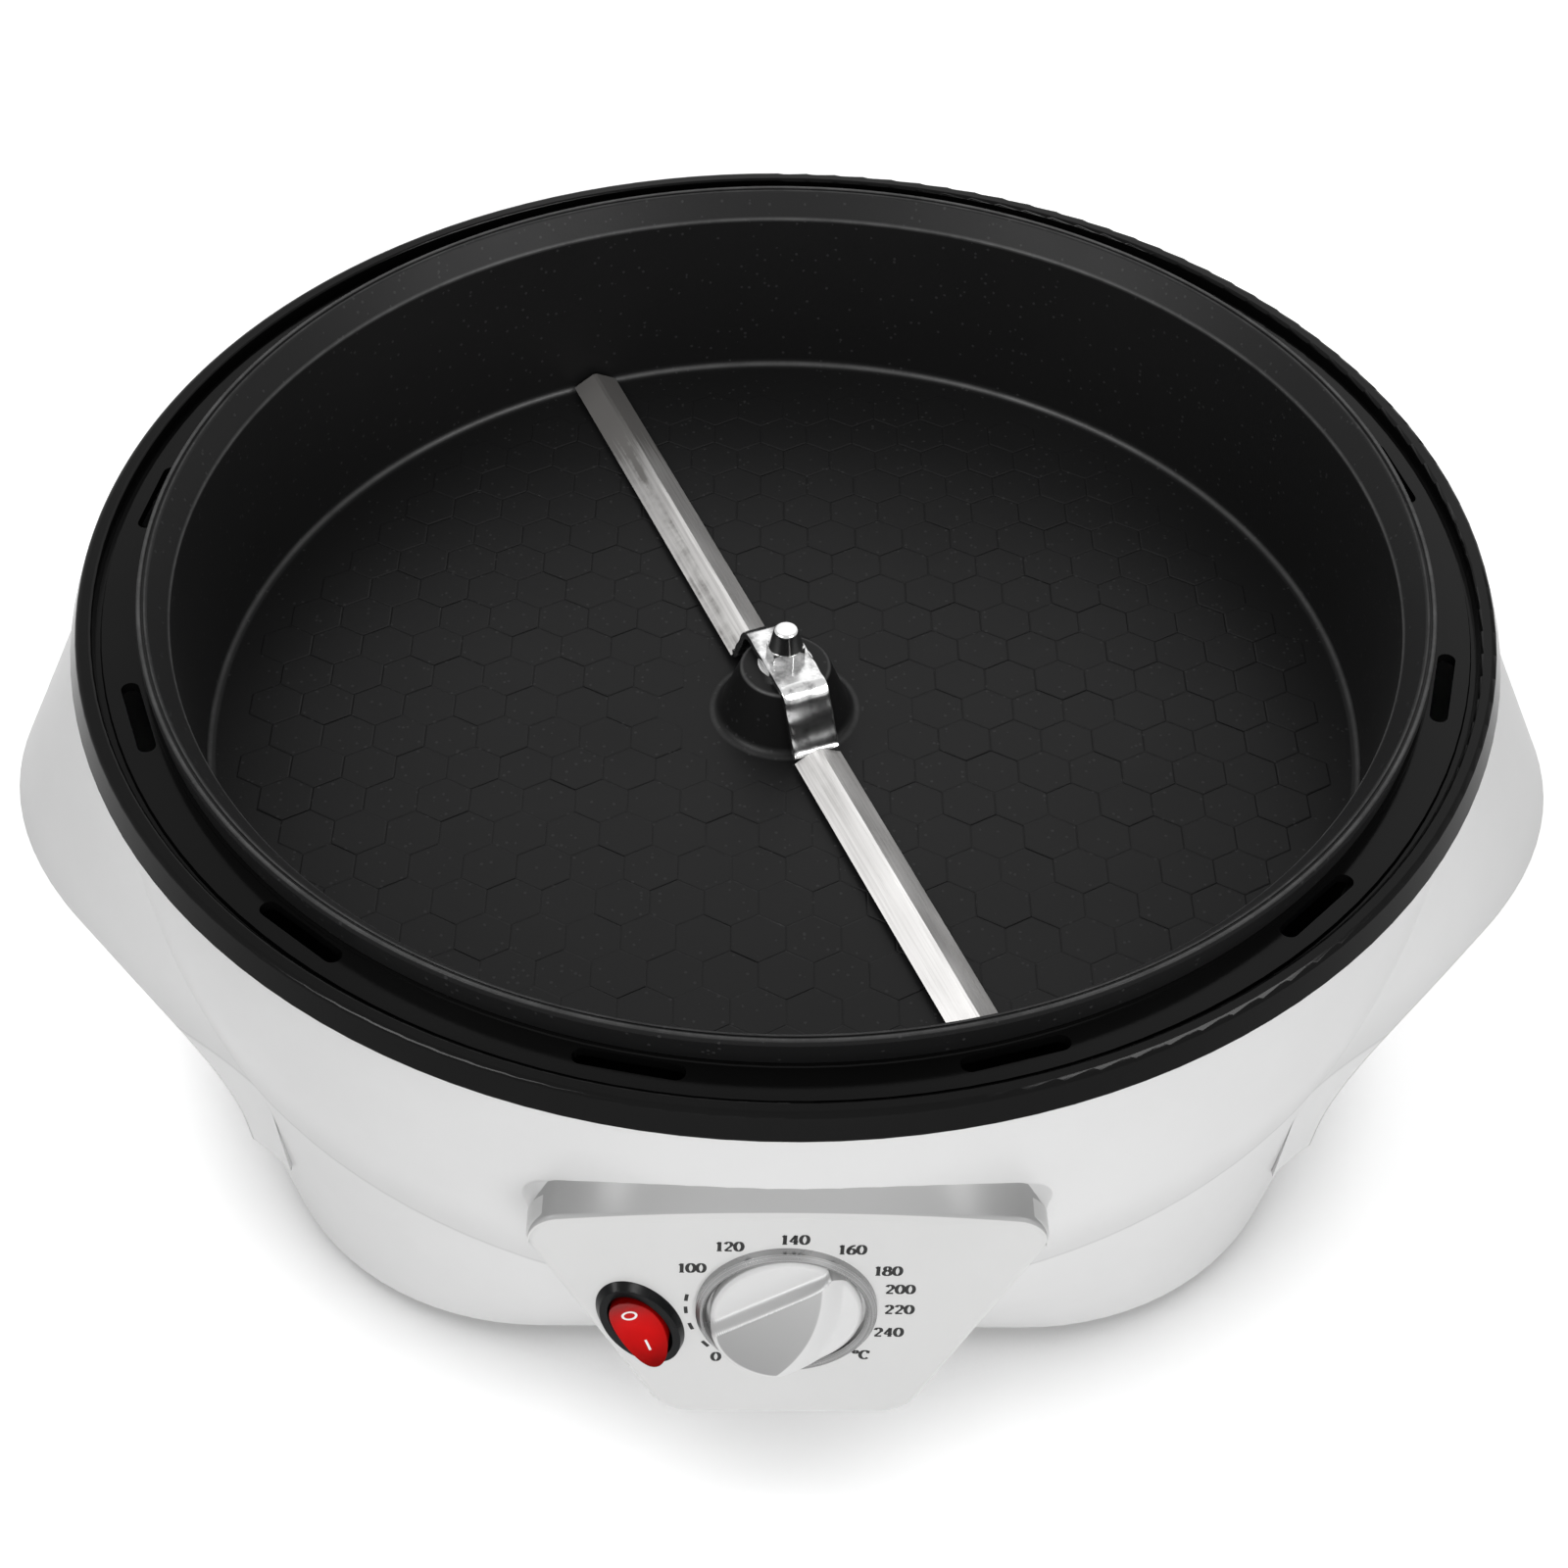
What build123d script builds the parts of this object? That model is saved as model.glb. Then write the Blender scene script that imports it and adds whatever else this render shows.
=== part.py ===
from build123d import *
import os
from math import atan2, cos, degrees, radians, sin

# Home coffee bean roaster: a round non-stick pan with a motor-driven stirrer, carried by a slotted
# trim ring on a moulded housing with two flared handles and a tilted control panel at the front.
# Millimetres. +Z is up, -Y is the front. The origin is on the table, on the stirrer's axis.

# ---------------------------------------------------------------- driving dimensions
# Whole body
BODY_HEIGHT = 140.0  # table to the top of the trim ring
FOOT_HEIGHT = 5.0
WALL = 2.6  # moulded housing wall
FIT = 0.3  # gap round a piece that drops into another
RUN_FIT = 0.05  # radial clearance of a shaft in its bore

# Trim ring
RING_SKIRT_FLARE = 2.2  # how far the skirt stands out below the lip
RING_SKIRT_DROP = 6.0
RING_OVERHANG = 1.7  # lip's outer edge beyond the housing's wall
RING_LIP_WIDTH = 3.6
RING_LIP_OUTER = 1.4  # rounding of the lip's outer edge
RING_LIP_INNER = 0.8
RING_GROOVE_WIDTH = 1.6
RING_BEVEL = 0.4  # lean of the lip's inner face and of the small steps
RING_GROOVE_DEPTH = 1.0  # below the lid seat
LID_SEAT_DROP = 2.6  # from the lip down to the lid seat
LID_SEAT_WIDTH = 8.9
RING_PLATE = 2.4
RING_DEPTH = 20.0  # cutting depth that passes through the ring
PAN_SEAT_STEP = 0.3  # the pan's seat stands this far above the lid seat
SLOT_INSET = 2.7  # slot's middle outside the step to the pan's seat
SLOT_LENGTH = 24.0
SLOT_WIDTH = 4.2
SLOT_COUNT = 12
SLOT_PITCH = 29.0  # degrees; the wider stretch is at the back
SLOT_MIDDLE = 272.5  # degrees, middle of the row of slots

# Roasting pan
PAN_MOUTH_RADIUS = 148.4
PAN_DRAFT = 2.4  # how much narrower the floor is than the mouth
PAN_DEPTH = 50.0  # trim ring's top to the pan's floor
PAN_WALL = 1.8
PAN_FLOOR = 2.4
PAN_CORNER = 7.0
PAN_MOUTH_DROP = 1.6  # mouth's edge below the trim ring's top
RIM_CREST = 5.0  # raised rim above the trim ring's top
RIM_FLANK = 4.4  # level width of the slope from the mouth up to the rim's bead
RIM_BEAD = 0.9  # width of the bead along the inside of the crest
RIM_GROOVE = 0.6  # width and depth of the groove that parts the bead from the crest
RIM_CROWN = 1.3  # width of the crest
RIM_LEAN = 0.7  # how far the rim's outer wall leans out on the way up
RIM_SHOULDER = 1.2  # height of the rounding from the outer wall to the crest
HUB_BASE_RADIUS = 17.0
HUB_TOP_RADIUS = 11.4
HUB_HEIGHT = 15.0
HUB_FILLET = 4.0
HUB_EDGE = 1.0
HUB_COLLAR = 4.0  # collar under the floor round the bushing
HUB_COLLAR_WALL = 4.0
BOSS_RADIUS = 4.5
BOSS_HOLE = 10.0
BOSS_SPAN_Y = 28.0
RIM_GAP = 0.8  # between the pan's wall and the ring

# Housing
BOWL_TAPER = 6.3  # how far the bowl narrows from the rim down to the crease
CREASE_Z = 64.0  # where the bowl meets the plinth
BOWL_BULGE = 3.0
PLINTH_TAPER = 32.0  # how far the plinth narrows from the crease to its bottom, at its sides
PLINTH_CORNER = 71.0
SLOPE_WALL = 1.13  # level thickness of the plinth's sloping wall, in wall thicknesses
LUG_RADIUS = 4.2
LUG_THICKNESS = 3.0
LUG_DROP = 6.0  # lug top below the ring's underside
LUG_INSET = 6.0  # lug centre inside the rim
POST_WAIST = 3.2  # radius of the ring's posts, which stand on the lugs
POST_ROOF = 1.0  # solid top of a ring's post above its screw hole
SCREW_END_GAP = 0.5  # screw's tip below that

# Handles: the skin flares out of the bowl and is cut away below by an arch for the fingers
HANDLE_SPAN = 41.2  # degrees from the handle's middle to where it meets the bowl
HANDLE_SKIN = 3.0
HANDLE_TOP_FLARE = 0.7
HANDLE_LOW_FLARE = 60.0
HANDLE_LOW_Z = 28.0
HANDLE_TUCK = 9.7  # how far the skin's hidden edges lie inside the rim at that height
HANDLE_TIP_Z = 33.0
ARCH_TOP_Z = 74.0
ARCH_HALF_WIDTH = 95.0
ARCH_CORNER = 34.0

# Control panel
PANEL_PROUD = 4.8  # panel's face outside the housing's rim, at the knob
PANEL_TILT = 4.5  # degrees, top leaning back
KNOB_DROP = 62.7  # knob's middle below the trim ring's top
PANEL_TOP_HALF = 58.8
PANEL_FOOT_HALF = 27.0
PANEL_ABOVE_KNOB = 28.2
PANEL_BELOW_KNOB = 38.0
PANEL_ARCH = 2.2
PANEL_DEPTH = 7.0
PANEL_SKIN = 2.5
PANEL_TABS = [(-34, 1), (34, 1), (-13, -1), (13, -1)]  # x, and top or foot
PANEL_TAB_WIDTH = 10.0
PANEL_TAB_GAUGE = 1.6
PANEL_TAB_LENGTH = 5.0
PANEL_EDGE = 2.0
PANEL_TOP_CORNER = 7.0
PANEL_FOOT_CORNER = 10.0
POD_INSET = 0.8
POD_GROWTH = 9.0
POD_LENGTH = 27.0

# Knob and thermostat
BEZEL_RADIUS = 19.5
BEZEL_INNER = 17.2
BEZEL_HEIGHT = 2.6
KNOB_RADIUS = 16.6
KNOB_LIFT = 0.4  # knob above the panel's face
KNOB_DISC = 3.2
DISC_BEVEL = 0.8
KNOB_HOLLOW = 11.0  # radius of the hollow round the nut
GRIP_NOSE_TOP = 7.9  # top of the grip above the panel's face, at the nose
GRIP_TAIL_TOP = 4.6
GRIP_ANGLE = 232.0  # degrees in the face: tail to nose, towards the zero mark
GRIP_STEEP_ANGLE = 116.7  # degrees in the face: the way the grip's steep side looks
GRIP_STEEP_REACH = 6.2  # axis to the steep side's upper edge
GRIP_STEEP_DRAFT = 14.0  # degrees from upright
GRIP_BROAD_ANGLE = 327.2
GRIP_BROAD_REACH = 11.2  # axis to the foot of the broad side
GRIP_BROAD_SLOPE = 28.0  # degrees from the disc
GRIP_BROAD_ROUND = 14.0
GRIP_NOSE_ROUND = 3.0
SPINDLE_RADIUS = 3.0
SPINDLE_TOP = 6.0  # above the panel's face
SPINDLE_DEPTH = 10.0  # below it
BUSH_RADIUS = 5.0
BUSH_TOP = 2.1
THERMOSTAT_RADIUS = 16.5
THERMOSTAT_DEPTH = 12.0
THERMOSTAT_NUT = 13.0  # across flats
THERMOSTAT_NUT_HEIGHT = 1.8
TAB_LENGTH = 7.0
TAB_WIDTH = 4.8
TAB_GAUGE = 0.8
BULB_RADIUS = 3.0
BULB_LENGTH = 56.0
BULB_GAP = 10.0  # heating element's tube to the bulb
CAPILLARY_RADIUS = 0.8
NOTCH_WIDTH = 16.0  # in the shield's rim, for the capillary
NOTCH_ANGLE = 255.3  # degrees
FUSE_RADIUS = 2.5
FUSE_LENGTH = 16.0
FUSE_REACH = 34.0
SADDLE_GAUGE = 0.8
SADDLE_LENGTH = 7.0
SADDLE_EAR = 5.0

# Rocker switch
SWITCH_X = -31.5
SWITCH_Y = -4.6
SWITCH_LEAN = 25.0  # degrees, parallel to the panel's side
SWITCH_LONG = 27.6
SWITCH_SHORT = 16.6
SWITCH_BEZEL_HEIGHT = 2.0
SWITCH_BEZEL_TAPER = 24.0
SWITCH_BODY_DEPTH = 15.0
SWITCH_BODY_INSET = 1.6  # from the bezel's edge in to the body
SWITCH_POCKET_DEPTH = 8.0
SWITCH_TAB_PITCH = 8.0
ROCKER_LONG = 19.6
ROCKER_SHORT = 10.4
ROCKER_END_GAP = 1.1
ROCKER_SIDE_GAP = 0.5
ROCKER_TILT = 8.0  # degrees either way from level
ROCKER_WAIST = 3.4  # middle of the rocker's top above its pin
ROCKER_HORN = 5.6  # ends of the rocker's top above its pin
ROCKER_KEEL = 3.2  # underside below its pin
ROCKER_PIN_RADIUS = 1.0
ROCKER_PIN_DEPTH = 0.6  # below the panel's face

# Stirrer
STIRRER_ANGLE = 112.2  # degrees, rear arm
SHAFT_RADIUS = 4.0
BUSHING_RADIUS = 6.5
STRAP_WIDTH = 12.0
STRAP_GAUGE = 2.0
STRAP_HALF_FLAT = 13.5
STRAP_KNEE = 20.5
STRAP_FOOT = 34.0
STRAP_BEND = 2.5
STRAP_TONGUE = 5.0  # width of the tongue under each arm
STUD_RADIUS = 2.5
WASHER_RADIUS = 7.0
WASHER_THICKNESS = 1.2
ARM_WIDTH = 12.5
ARM_RISE = 5.4
ARM_GAUGE = 1.2
ARM_CROWN = 2.0  # width of the flat along the top
ARM_FLANK = 1.7  # level thickness of the folded sides
ARM_FOLD = 0.3
ARM_RELIEF = 3.2
ARM_START_GAP = 1.0
ARM_CLEARANCE = 2.0  # above the pan's floor
ARM_WALL_GAP = 1.6
NUT_ACROSS_CORNERS = 9.8
NUT_HEIGHT = 3.6
CAP_HEIGHT = 5.4
CAP_LOW_RADIUS = 4.4
CAP_TOP_RADIUS = 3.0

# Drive and heater
ELEMENT_RADIUS = 95.0
ELEMENT_TUBE = 4.0
ELEMENT_GAP = 34.0  # degrees left open at the back
ELEMENT_BEND = 8.0
ELEMENT_DROP = 13.0  # straight ends below the bend
ELEMENT_PIN = 1.5
ELEMENT_CLIPS = [20, 160, 235, 305]  # degrees
SHIELD_HOLE = 12.0
SHIELD_INSET = 12.0  # shield's rim inside the pan's floor
SHIELD_DROP = 17.0  # shield floor below the pan's floor
SHIELD_RIM = 12.0
SHIELD_GAUGE = 1.0
BRACKET_DROP = 16.0
BRACKET_GAUGE = 1.5
BRACKET_LENGTH = 96.0
BRACKET_WIDTH = 44.0
BRACKET_EAR = 12.0
MOTOR_RADIUS = 30.0
MOTOR_HEIGHT = 30.0
MOTOR_BOSS_RADIUS = 9.0
MOTOR_BOSS_HEIGHT = 6.0
MOTOR_BORE = 16.0
MOTOR_EAR_REACH = 41.0
MOTOR_EAR_WIDTH = 12.0
MOTOR_EAR = 2.0
MOTOR_SCREW_REACH = 36.0
COUPLING_RADIUS = 8.0
COUPLING_HEIGHT = 9.0
COUPLING_GAP = 1.5  # above the motor's boss
BUSHING_FLANGE = 9.0
BUSHING_FLANGE_HEIGHT = 1.5

# Base
BASE_PLATE = 2.5
TERMINAL_X = 40.0
TERMINAL_Y = 84.0
TERMINAL_LENGTH = 34.0
TERMINAL_WIDTH = 14.0
TERMINAL_HEIGHT = 11.0
FOOT_RADIUS = 11.0
FOOT_WEB = 1.6  # rubber above the screw's head
FOOT_INSET = 38.0  # foot's middle inside the plinth's sides
POST_RADIUS = 6.0
POST_HEIGHT = 30.0
POST_RIB = 30.0
POST_CAP = 4.0  # solid top of a post above its screw hole
SCREW_RADIUS = 1.8
SCREW_HEAD_RADIUS = 3.6
SCREW_HEAD = 2.0
SCREW_LENGTH = 22.0
SMALL_SCREW = 1.5
SMALL_HEAD_RADIUS = 2.8
SMALL_HEAD = 1.6
VENT_LENGTH = 44.0
VENT_WIDTH = 4.0
VENT_PITCH = 9.0
GLAND_Z = 30.0
GLAND_BORE = 4.0
GLAND_BODY = 7.0
GLAND_FLANGE = 9.5
GLAND_PAD = 12.5
GLAND_LIP = 2.0
GLAND_PROUD = 1.0  # the pad's upper edge stands this far out of the wall
GLAND_LENGTH = 18.0

# ---------------------------------------------------------------- sizes that follow from them
BEAD_RADIUS = PAN_MOUTH_RADIUS + RIM_FLANK
PAN_RIM_RADIUS = BEAD_RADIUS + RIM_BEAD + RIM_GROOVE + RIM_CROWN
PAN_FLOOR_RADIUS = PAN_MOUTH_RADIUS - PAN_DRAFT
LID_SEAT_INNER = PAN_RIM_RADIUS + FIT
GROOVE_INNER = LID_SEAT_INNER + LID_SEAT_WIDTH
LIP_INNER = GROOVE_INNER + RING_GROOVE_WIDTH
RING_RADIUS = LIP_INNER + RING_LIP_WIDTH
RIM_RADIUS = RING_RADIUS - RING_OVERHANG
CREASE_RADIUS = RIM_RADIUS - BOWL_TAPER
PLINTH_HALF = CREASE_RADIUS - PLINTH_TAPER
PANEL_REACH = RIM_RADIUS + PANEL_PROUD
KNOB_Z = BODY_HEIGHT - KNOB_DROP
SLOT_RADIUS = LID_SEAT_INNER + SLOT_INSET
SHIELD_RADIUS = PAN_FLOOR_RADIUS - SHIELD_INSET
BOSS_SPAN_X = BRACKET_LENGTH + BRACKET_EAR
FOOT_OFFSET = PLINTH_HALF - FOOT_INSET
BULB_REACH = ELEMENT_RADIUS + ELEMENT_TUBE + BULB_GAP + BULB_RADIUS
SEAT_Z = BODY_HEIGHT - LID_SEAT_DROP
RING_UNDERSIDE = SEAT_Z - RING_PLATE
PAN_SEAT_Z = SEAT_Z + PAN_SEAT_STEP
PAN_FLOOR_Z = BODY_HEIGHT - PAN_DEPTH
PAN_UNDERSIDE = PAN_FLOOR_Z - PAN_FLOOR
HUB_TOP_Z = PAN_FLOOR_Z + HUB_HEIGHT
CREST_Z = BODY_HEIGHT + RIM_CREST
SHIELD_Z = PAN_FLOOR_Z - SHIELD_DROP
BRACKET_Z = SHIELD_Z - BRACKET_DROP
PLATE_TOP = FOOT_HEIGHT + BASE_PLATE
WASHER_TOP = HUB_TOP_Z + RUN_FIT + WASHER_THICKNESS
STRAP_TOP = WASHER_TOP + STRAP_GAUGE
ARM_LOW = PAN_FLOOR_Z + ARM_CLEARANCE
ARM_TIP = PAN_FLOOR_RADIUS - ARM_WALL_GAP
ARM_ROOT = STRAP_KNEE + ARM_START_GAP + RUN_FIT
DISC_TOP = KNOB_LIFT + KNOB_DISC
LUG_REACH = RIM_RADIUS - LUG_INSET
LUG_TOP = RING_UNDERSIDE - LUG_DROP
FOOT_SPOTS = [(x, y) for x in (-FOOT_OFFSET, FOOT_OFFSET) for y in (-FOOT_OFFSET, FOOT_OFFSET)]
RING_INNER = PAN_MOUTH_RADIUS + PAN_WALL + RIM_GAP
MOTOR_BOSS_TOP = BRACKET_Z + MOTOR_BOSS_HEIGHT
HOLLOW_HALF = PLINTH_HALF - SLOPE_WALL * WALL
PAD_SHARE = (GLAND_Z + GLAND_PAD - FOOT_HEIGHT) / (CREASE_Z - FOOT_HEIGHT)
PAD_REACH = GLAND_PROUD + PLINTH_HALF + PLINTH_TAPER * PAD_SHARE
ELEMENT_Z = PAN_UNDERSIDE - FIT - ELEMENT_TUBE
SHAFT_FOOT = MOTOR_BOSS_TOP - MOTOR_BORE + FIT
BULB_Z = PAN_UNDERSIDE - FIT - BULB_RADIUS
BACK = 90.0  # degrees round the axis from the right-hand side to the back
STAND_ON = (Align.CENTER, Align.CENTER, Align.MIN)
HANG_FROM = (Align.CENTER, Align.CENTER, Align.MAX)
LUG_ANGLES = [SLOT_MIDDLE + SLOT_PITCH * step for step in (-5, -2, 2, 5)]

face_plane = Plane(
    origin=(0, -PANEL_REACH, KNOB_Z),
    x_dir=(1, 0, 0),
    z_dir=(0, -cos(radians(PANEL_TILT)), sin(radians(PANEL_TILT))),
)
stirrer_plane = Plane(
    origin=(0, 0, 0),
    x_dir=(cos(radians(STIRRER_ANGLE)), sin(radians(STIRRER_ANGLE)), 0),
    z_dir=(sin(radians(STIRRER_ANGLE)), -cos(radians(STIRRER_ANGLE)), 0),
)
switch_plane = Plane(face_plane.location * Pos(SWITCH_X, SWITCH_Y, 0) * Rot(0, 0, SWITCH_LEAN))
arm_end = Plane(
    origin=stirrer_plane.from_local_coords((ARM_ROOT, ARM_LOW, 0)),
    x_dir=-stirrer_plane.z_dir,
    z_dir=stirrer_plane.x_dir,
)
BOSS_SPOTS = [(x * BOSS_SPAN_X / 2, y * BOSS_SPAN_Y / 2) for x in (-1, 1) for y in (-1, 1)]


def panel_outline(grow=0.0):
    """The control panel's outline, a trapezoid with an arched top, grown or shrunk all round."""
    with BuildSketch() as outline:
        with BuildLine():
            ThreePointArc(
                (-PANEL_TOP_HALF, PANEL_ABOVE_KNOB),
                (0, PANEL_ABOVE_KNOB + PANEL_ARCH),
                (PANEL_TOP_HALF, PANEL_ABOVE_KNOB),
            )
            Polyline(
                (PANEL_TOP_HALF, PANEL_ABOVE_KNOB),
                (PANEL_FOOT_HALF, -PANEL_BELOW_KNOB),
                (-PANEL_FOOT_HALF, -PANEL_BELOW_KNOB),
                (-PANEL_TOP_HALF, PANEL_ABOVE_KNOB),
            )
        make_face()
        corners = outline.vertices().group_by(Axis.Y)
        fillet(corners[-1], PANEL_TOP_CORNER)
        fillet(outline.vertices().group_by(Axis.Y)[0], PANEL_FOOT_CORNER)
        if grow:
            offset(amount=grow, mode=Mode.REPLACE)
    return outline.sketch


def plinth_block(half_low, corner, radius_high, low_z):
    """The plinth: a loft from the rounded square at the bottom to the round crease."""
    with BuildPart() as block:
        with BuildSketch(Plane.XY.offset(low_z)):
            RectangleRounded(2 * half_low, 2 * half_low, corner)
        with BuildSketch(Plane.XY.offset(CREASE_Z)):
            RectangleRounded(2 * radius_high, 2 * radius_high, radius_high - 0.01)
        loft(ruled=True)
    return block.part


def bowl_block(inset, high_z):
    """The bulged bowl of revolution between the crease and the rim."""
    low, high = CREASE_RADIUS - inset, RIM_RADIUS - inset
    with BuildPart() as block:
        with BuildSketch(Plane.XZ):
            with BuildLine():
                Polyline((low, CREASE_Z), (0, CREASE_Z), (0, high_z), (high, high_z))
                if high_z > RING_UNDERSIDE:
                    Line((high, high_z), (high, RING_UNDERSIDE))
                ThreePointArc(
                    (high, RING_UNDERSIDE),
                    ((low + high) / 2 + BOWL_BULGE, (CREASE_Z + RING_UNDERSIDE) / 2),
                    (low, CREASE_Z),
                )
            make_face()
        revolve(axis=Axis.Z)
    return block.part


def handle_section(radius, flare):
    """A level cut of the handle: its reach swells as the square of a cosine about the +X side."""
    steps = 8
    swell = []
    for step in range(-steps, steps + 1):
        turn = radians(HANDLE_SPAN * step / steps)
        reach = radius + flare * cos(radians(90 * step / steps)) ** 2
        swell.append((reach * cos(turn), reach * sin(turn)))
    with BuildSketch() as section:
        with BuildLine():
            Spline(*swell)
            Line(swell[-1], swell[0])
        make_face()
    return section.sketch


def handle_block(inset):
    """The handle's flare, from under the ring down past its tips."""
    with BuildPart() as block:
        with BuildSketch(Plane.XY.offset(RING_UNDERSIDE - 1)):
            add(handle_section(RIM_RADIUS - 0.5 - inset, HANDLE_TOP_FLARE))
        with BuildSketch(Plane.XY.offset(HANDLE_LOW_Z)):
            add(handle_section(RIM_RADIUS - HANDLE_TUCK - inset, HANDLE_LOW_FLARE))
        loft(ruled=True)
    return block.part


def pod_block(grow, front):
    """The housing's forward pod behind the panel, widening inwards."""
    with BuildPart() as block:
        with BuildSketch(face_plane.offset(front - PANEL_DEPTH)):
            add(panel_outline(grow - POD_INSET))
        with BuildSketch(face_plane.offset(-PANEL_DEPTH - POD_LENGTH)):
            add(panel_outline(grow + POD_GROWTH))
        loft(ruled=True)
    return block.part


def saddle(radius):
    """A sheet strap that hangs from a level face and holds a rod laid along X."""
    hold, wrap = radius + FIT, radius + FIT + SADDLE_GAUGE
    with BuildPart() as strap:
        with BuildSketch(Plane.YZ.offset(-SADDLE_LENGTH / 2)):
            for half, mode in ((wrap, Mode.ADD), (hold, Mode.SUBTRACT)):
                with Locations((0, -hold)):
                    Circle(half, mode=mode)
                Rectangle(2 * half, hold, align=(Align.CENTER, Align.MAX), mode=mode)
                if mode == Mode.ADD:
                    ears = 2 * (wrap + SADDLE_EAR)
                    Rectangle(ears, SADDLE_GAUGE, align=(Align.CENTER, Align.MAX))
            Rectangle(ears, wrap, align=(Align.CENTER, Align.MIN), mode=Mode.SUBTRACT)
        extrude(amount=SADDLE_LENGTH)
    return strap.part


# ---------------------------------------------------------------- housing
with BuildPart() as handle_skin:
    add(handle_block(0))
    add(handle_block(HANDLE_SKIN), mode=Mode.SUBTRACT)
    # the arch that the fingers reach under, and the level cut at the tips
    with BuildSketch(Plane.YZ):
        with Locations((0, ARCH_TOP_Z - ARCH_HALF_WIDTH)):
            RectangleRounded(2 * ARCH_HALF_WIDTH, 2 * ARCH_HALF_WIDTH, ARCH_CORNER)
        with Locations((0, HANDLE_TIP_Z)):
            Rectangle(4 * ARCH_HALF_WIDTH, 4 * ARCH_HALF_WIDTH, align=(Align.CENTER, Align.MAX))
    extrude(amount=2 * RING_RADIUS, mode=Mode.SUBTRACT)

with BuildPart() as inner_bosses:
    # a post with a rib over each foot, and a lug under each of the ring's posts
    for angle in (45, 135, 225, 315):
        with Locations(Rot(0, 0, angle) * Pos(FOOT_OFFSET * 2**0.5, 0, PLATE_TOP)):
            Cylinder(POST_RADIUS, POST_HEIGHT, align=STAND_ON)
            Box(POST_RIB, WALL, POST_HEIGHT, align=(Align.MIN, Align.CENTER, Align.MIN))
    for angle in LUG_ANGLES:
        with Locations(Rot(0, 0, angle) * Pos(LUG_REACH, 0, LUG_TOP - LUG_THICKNESS)):
            Cylinder(LUG_RADIUS, LUG_THICKNESS, align=STAND_ON)
            Box(LUG_INSET, 2 * LUG_RADIUS, LUG_THICKNESS, align=(Align.MIN, Align.CENTER, Align.MIN))

with BuildPart() as housing_block:
    add(plinth_block(PLINTH_HALF, PLINTH_CORNER, CREASE_RADIUS, FOOT_HEIGHT))
    add(bowl_block(0, RING_UNDERSIDE))

with BuildPart() as housing_hollow:
    add(
        plinth_block(
            HOLLOW_HALF, PLINTH_CORNER - WALL, CREASE_RADIUS - WALL, FOOT_HEIGHT - 0.001
        )
    )
    add(bowl_block(WALL, BODY_HEIGHT))
    add(pod_block(-WALL, 1))

with BuildPart() as outer_housing:
    add(housing_block.part)
    add(pod_block(0, 0))
    add(handle_skin.part)
    add(handle_skin.part.mirror(Plane.YZ))
    # level pad for the cord gland at the back
    with BuildSketch(Plane.XZ.offset(-PAD_REACH)):
        with Locations((0, GLAND_Z)):
            Circle(GLAND_PAD)
    extrude(amount=PAD_REACH - HOLLOW_HALF)
    add(housing_hollow.part, mode=Mode.SUBTRACT)
    add(inner_bosses.part.intersect(housing_block.part))
    # recess that the control panel drops into
    with BuildSketch(face_plane.offset(-PANEL_DEPTH)):
        add(panel_outline(FIT))
    extrude(amount=2 * PANEL_DEPTH, mode=Mode.SUBTRACT)
    for angle in LUG_ANGLES:
        with Locations(Rot(0, 0, angle) * Pos(LUG_REACH, 0, LUG_TOP)):
            Cylinder(SMALL_SCREW + RUN_FIT, 4 * LUG_THICKNESS, mode=Mode.SUBTRACT)
    with Locations(*[(x, y, PLATE_TOP) for x, y in FOOT_SPOTS]):
        Cylinder(SCREW_RADIUS + RUN_FIT, 2 * (POST_HEIGHT - POST_CAP), mode=Mode.SUBTRACT)
    with BuildSketch(Plane.XZ.offset(-PAD_REACH)):
        with Locations((0, GLAND_Z)):
            Circle(GLAND_BODY + RUN_FIT)
    extrude(amount=2 * GLAND_LENGTH, mode=Mode.SUBTRACT)


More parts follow.
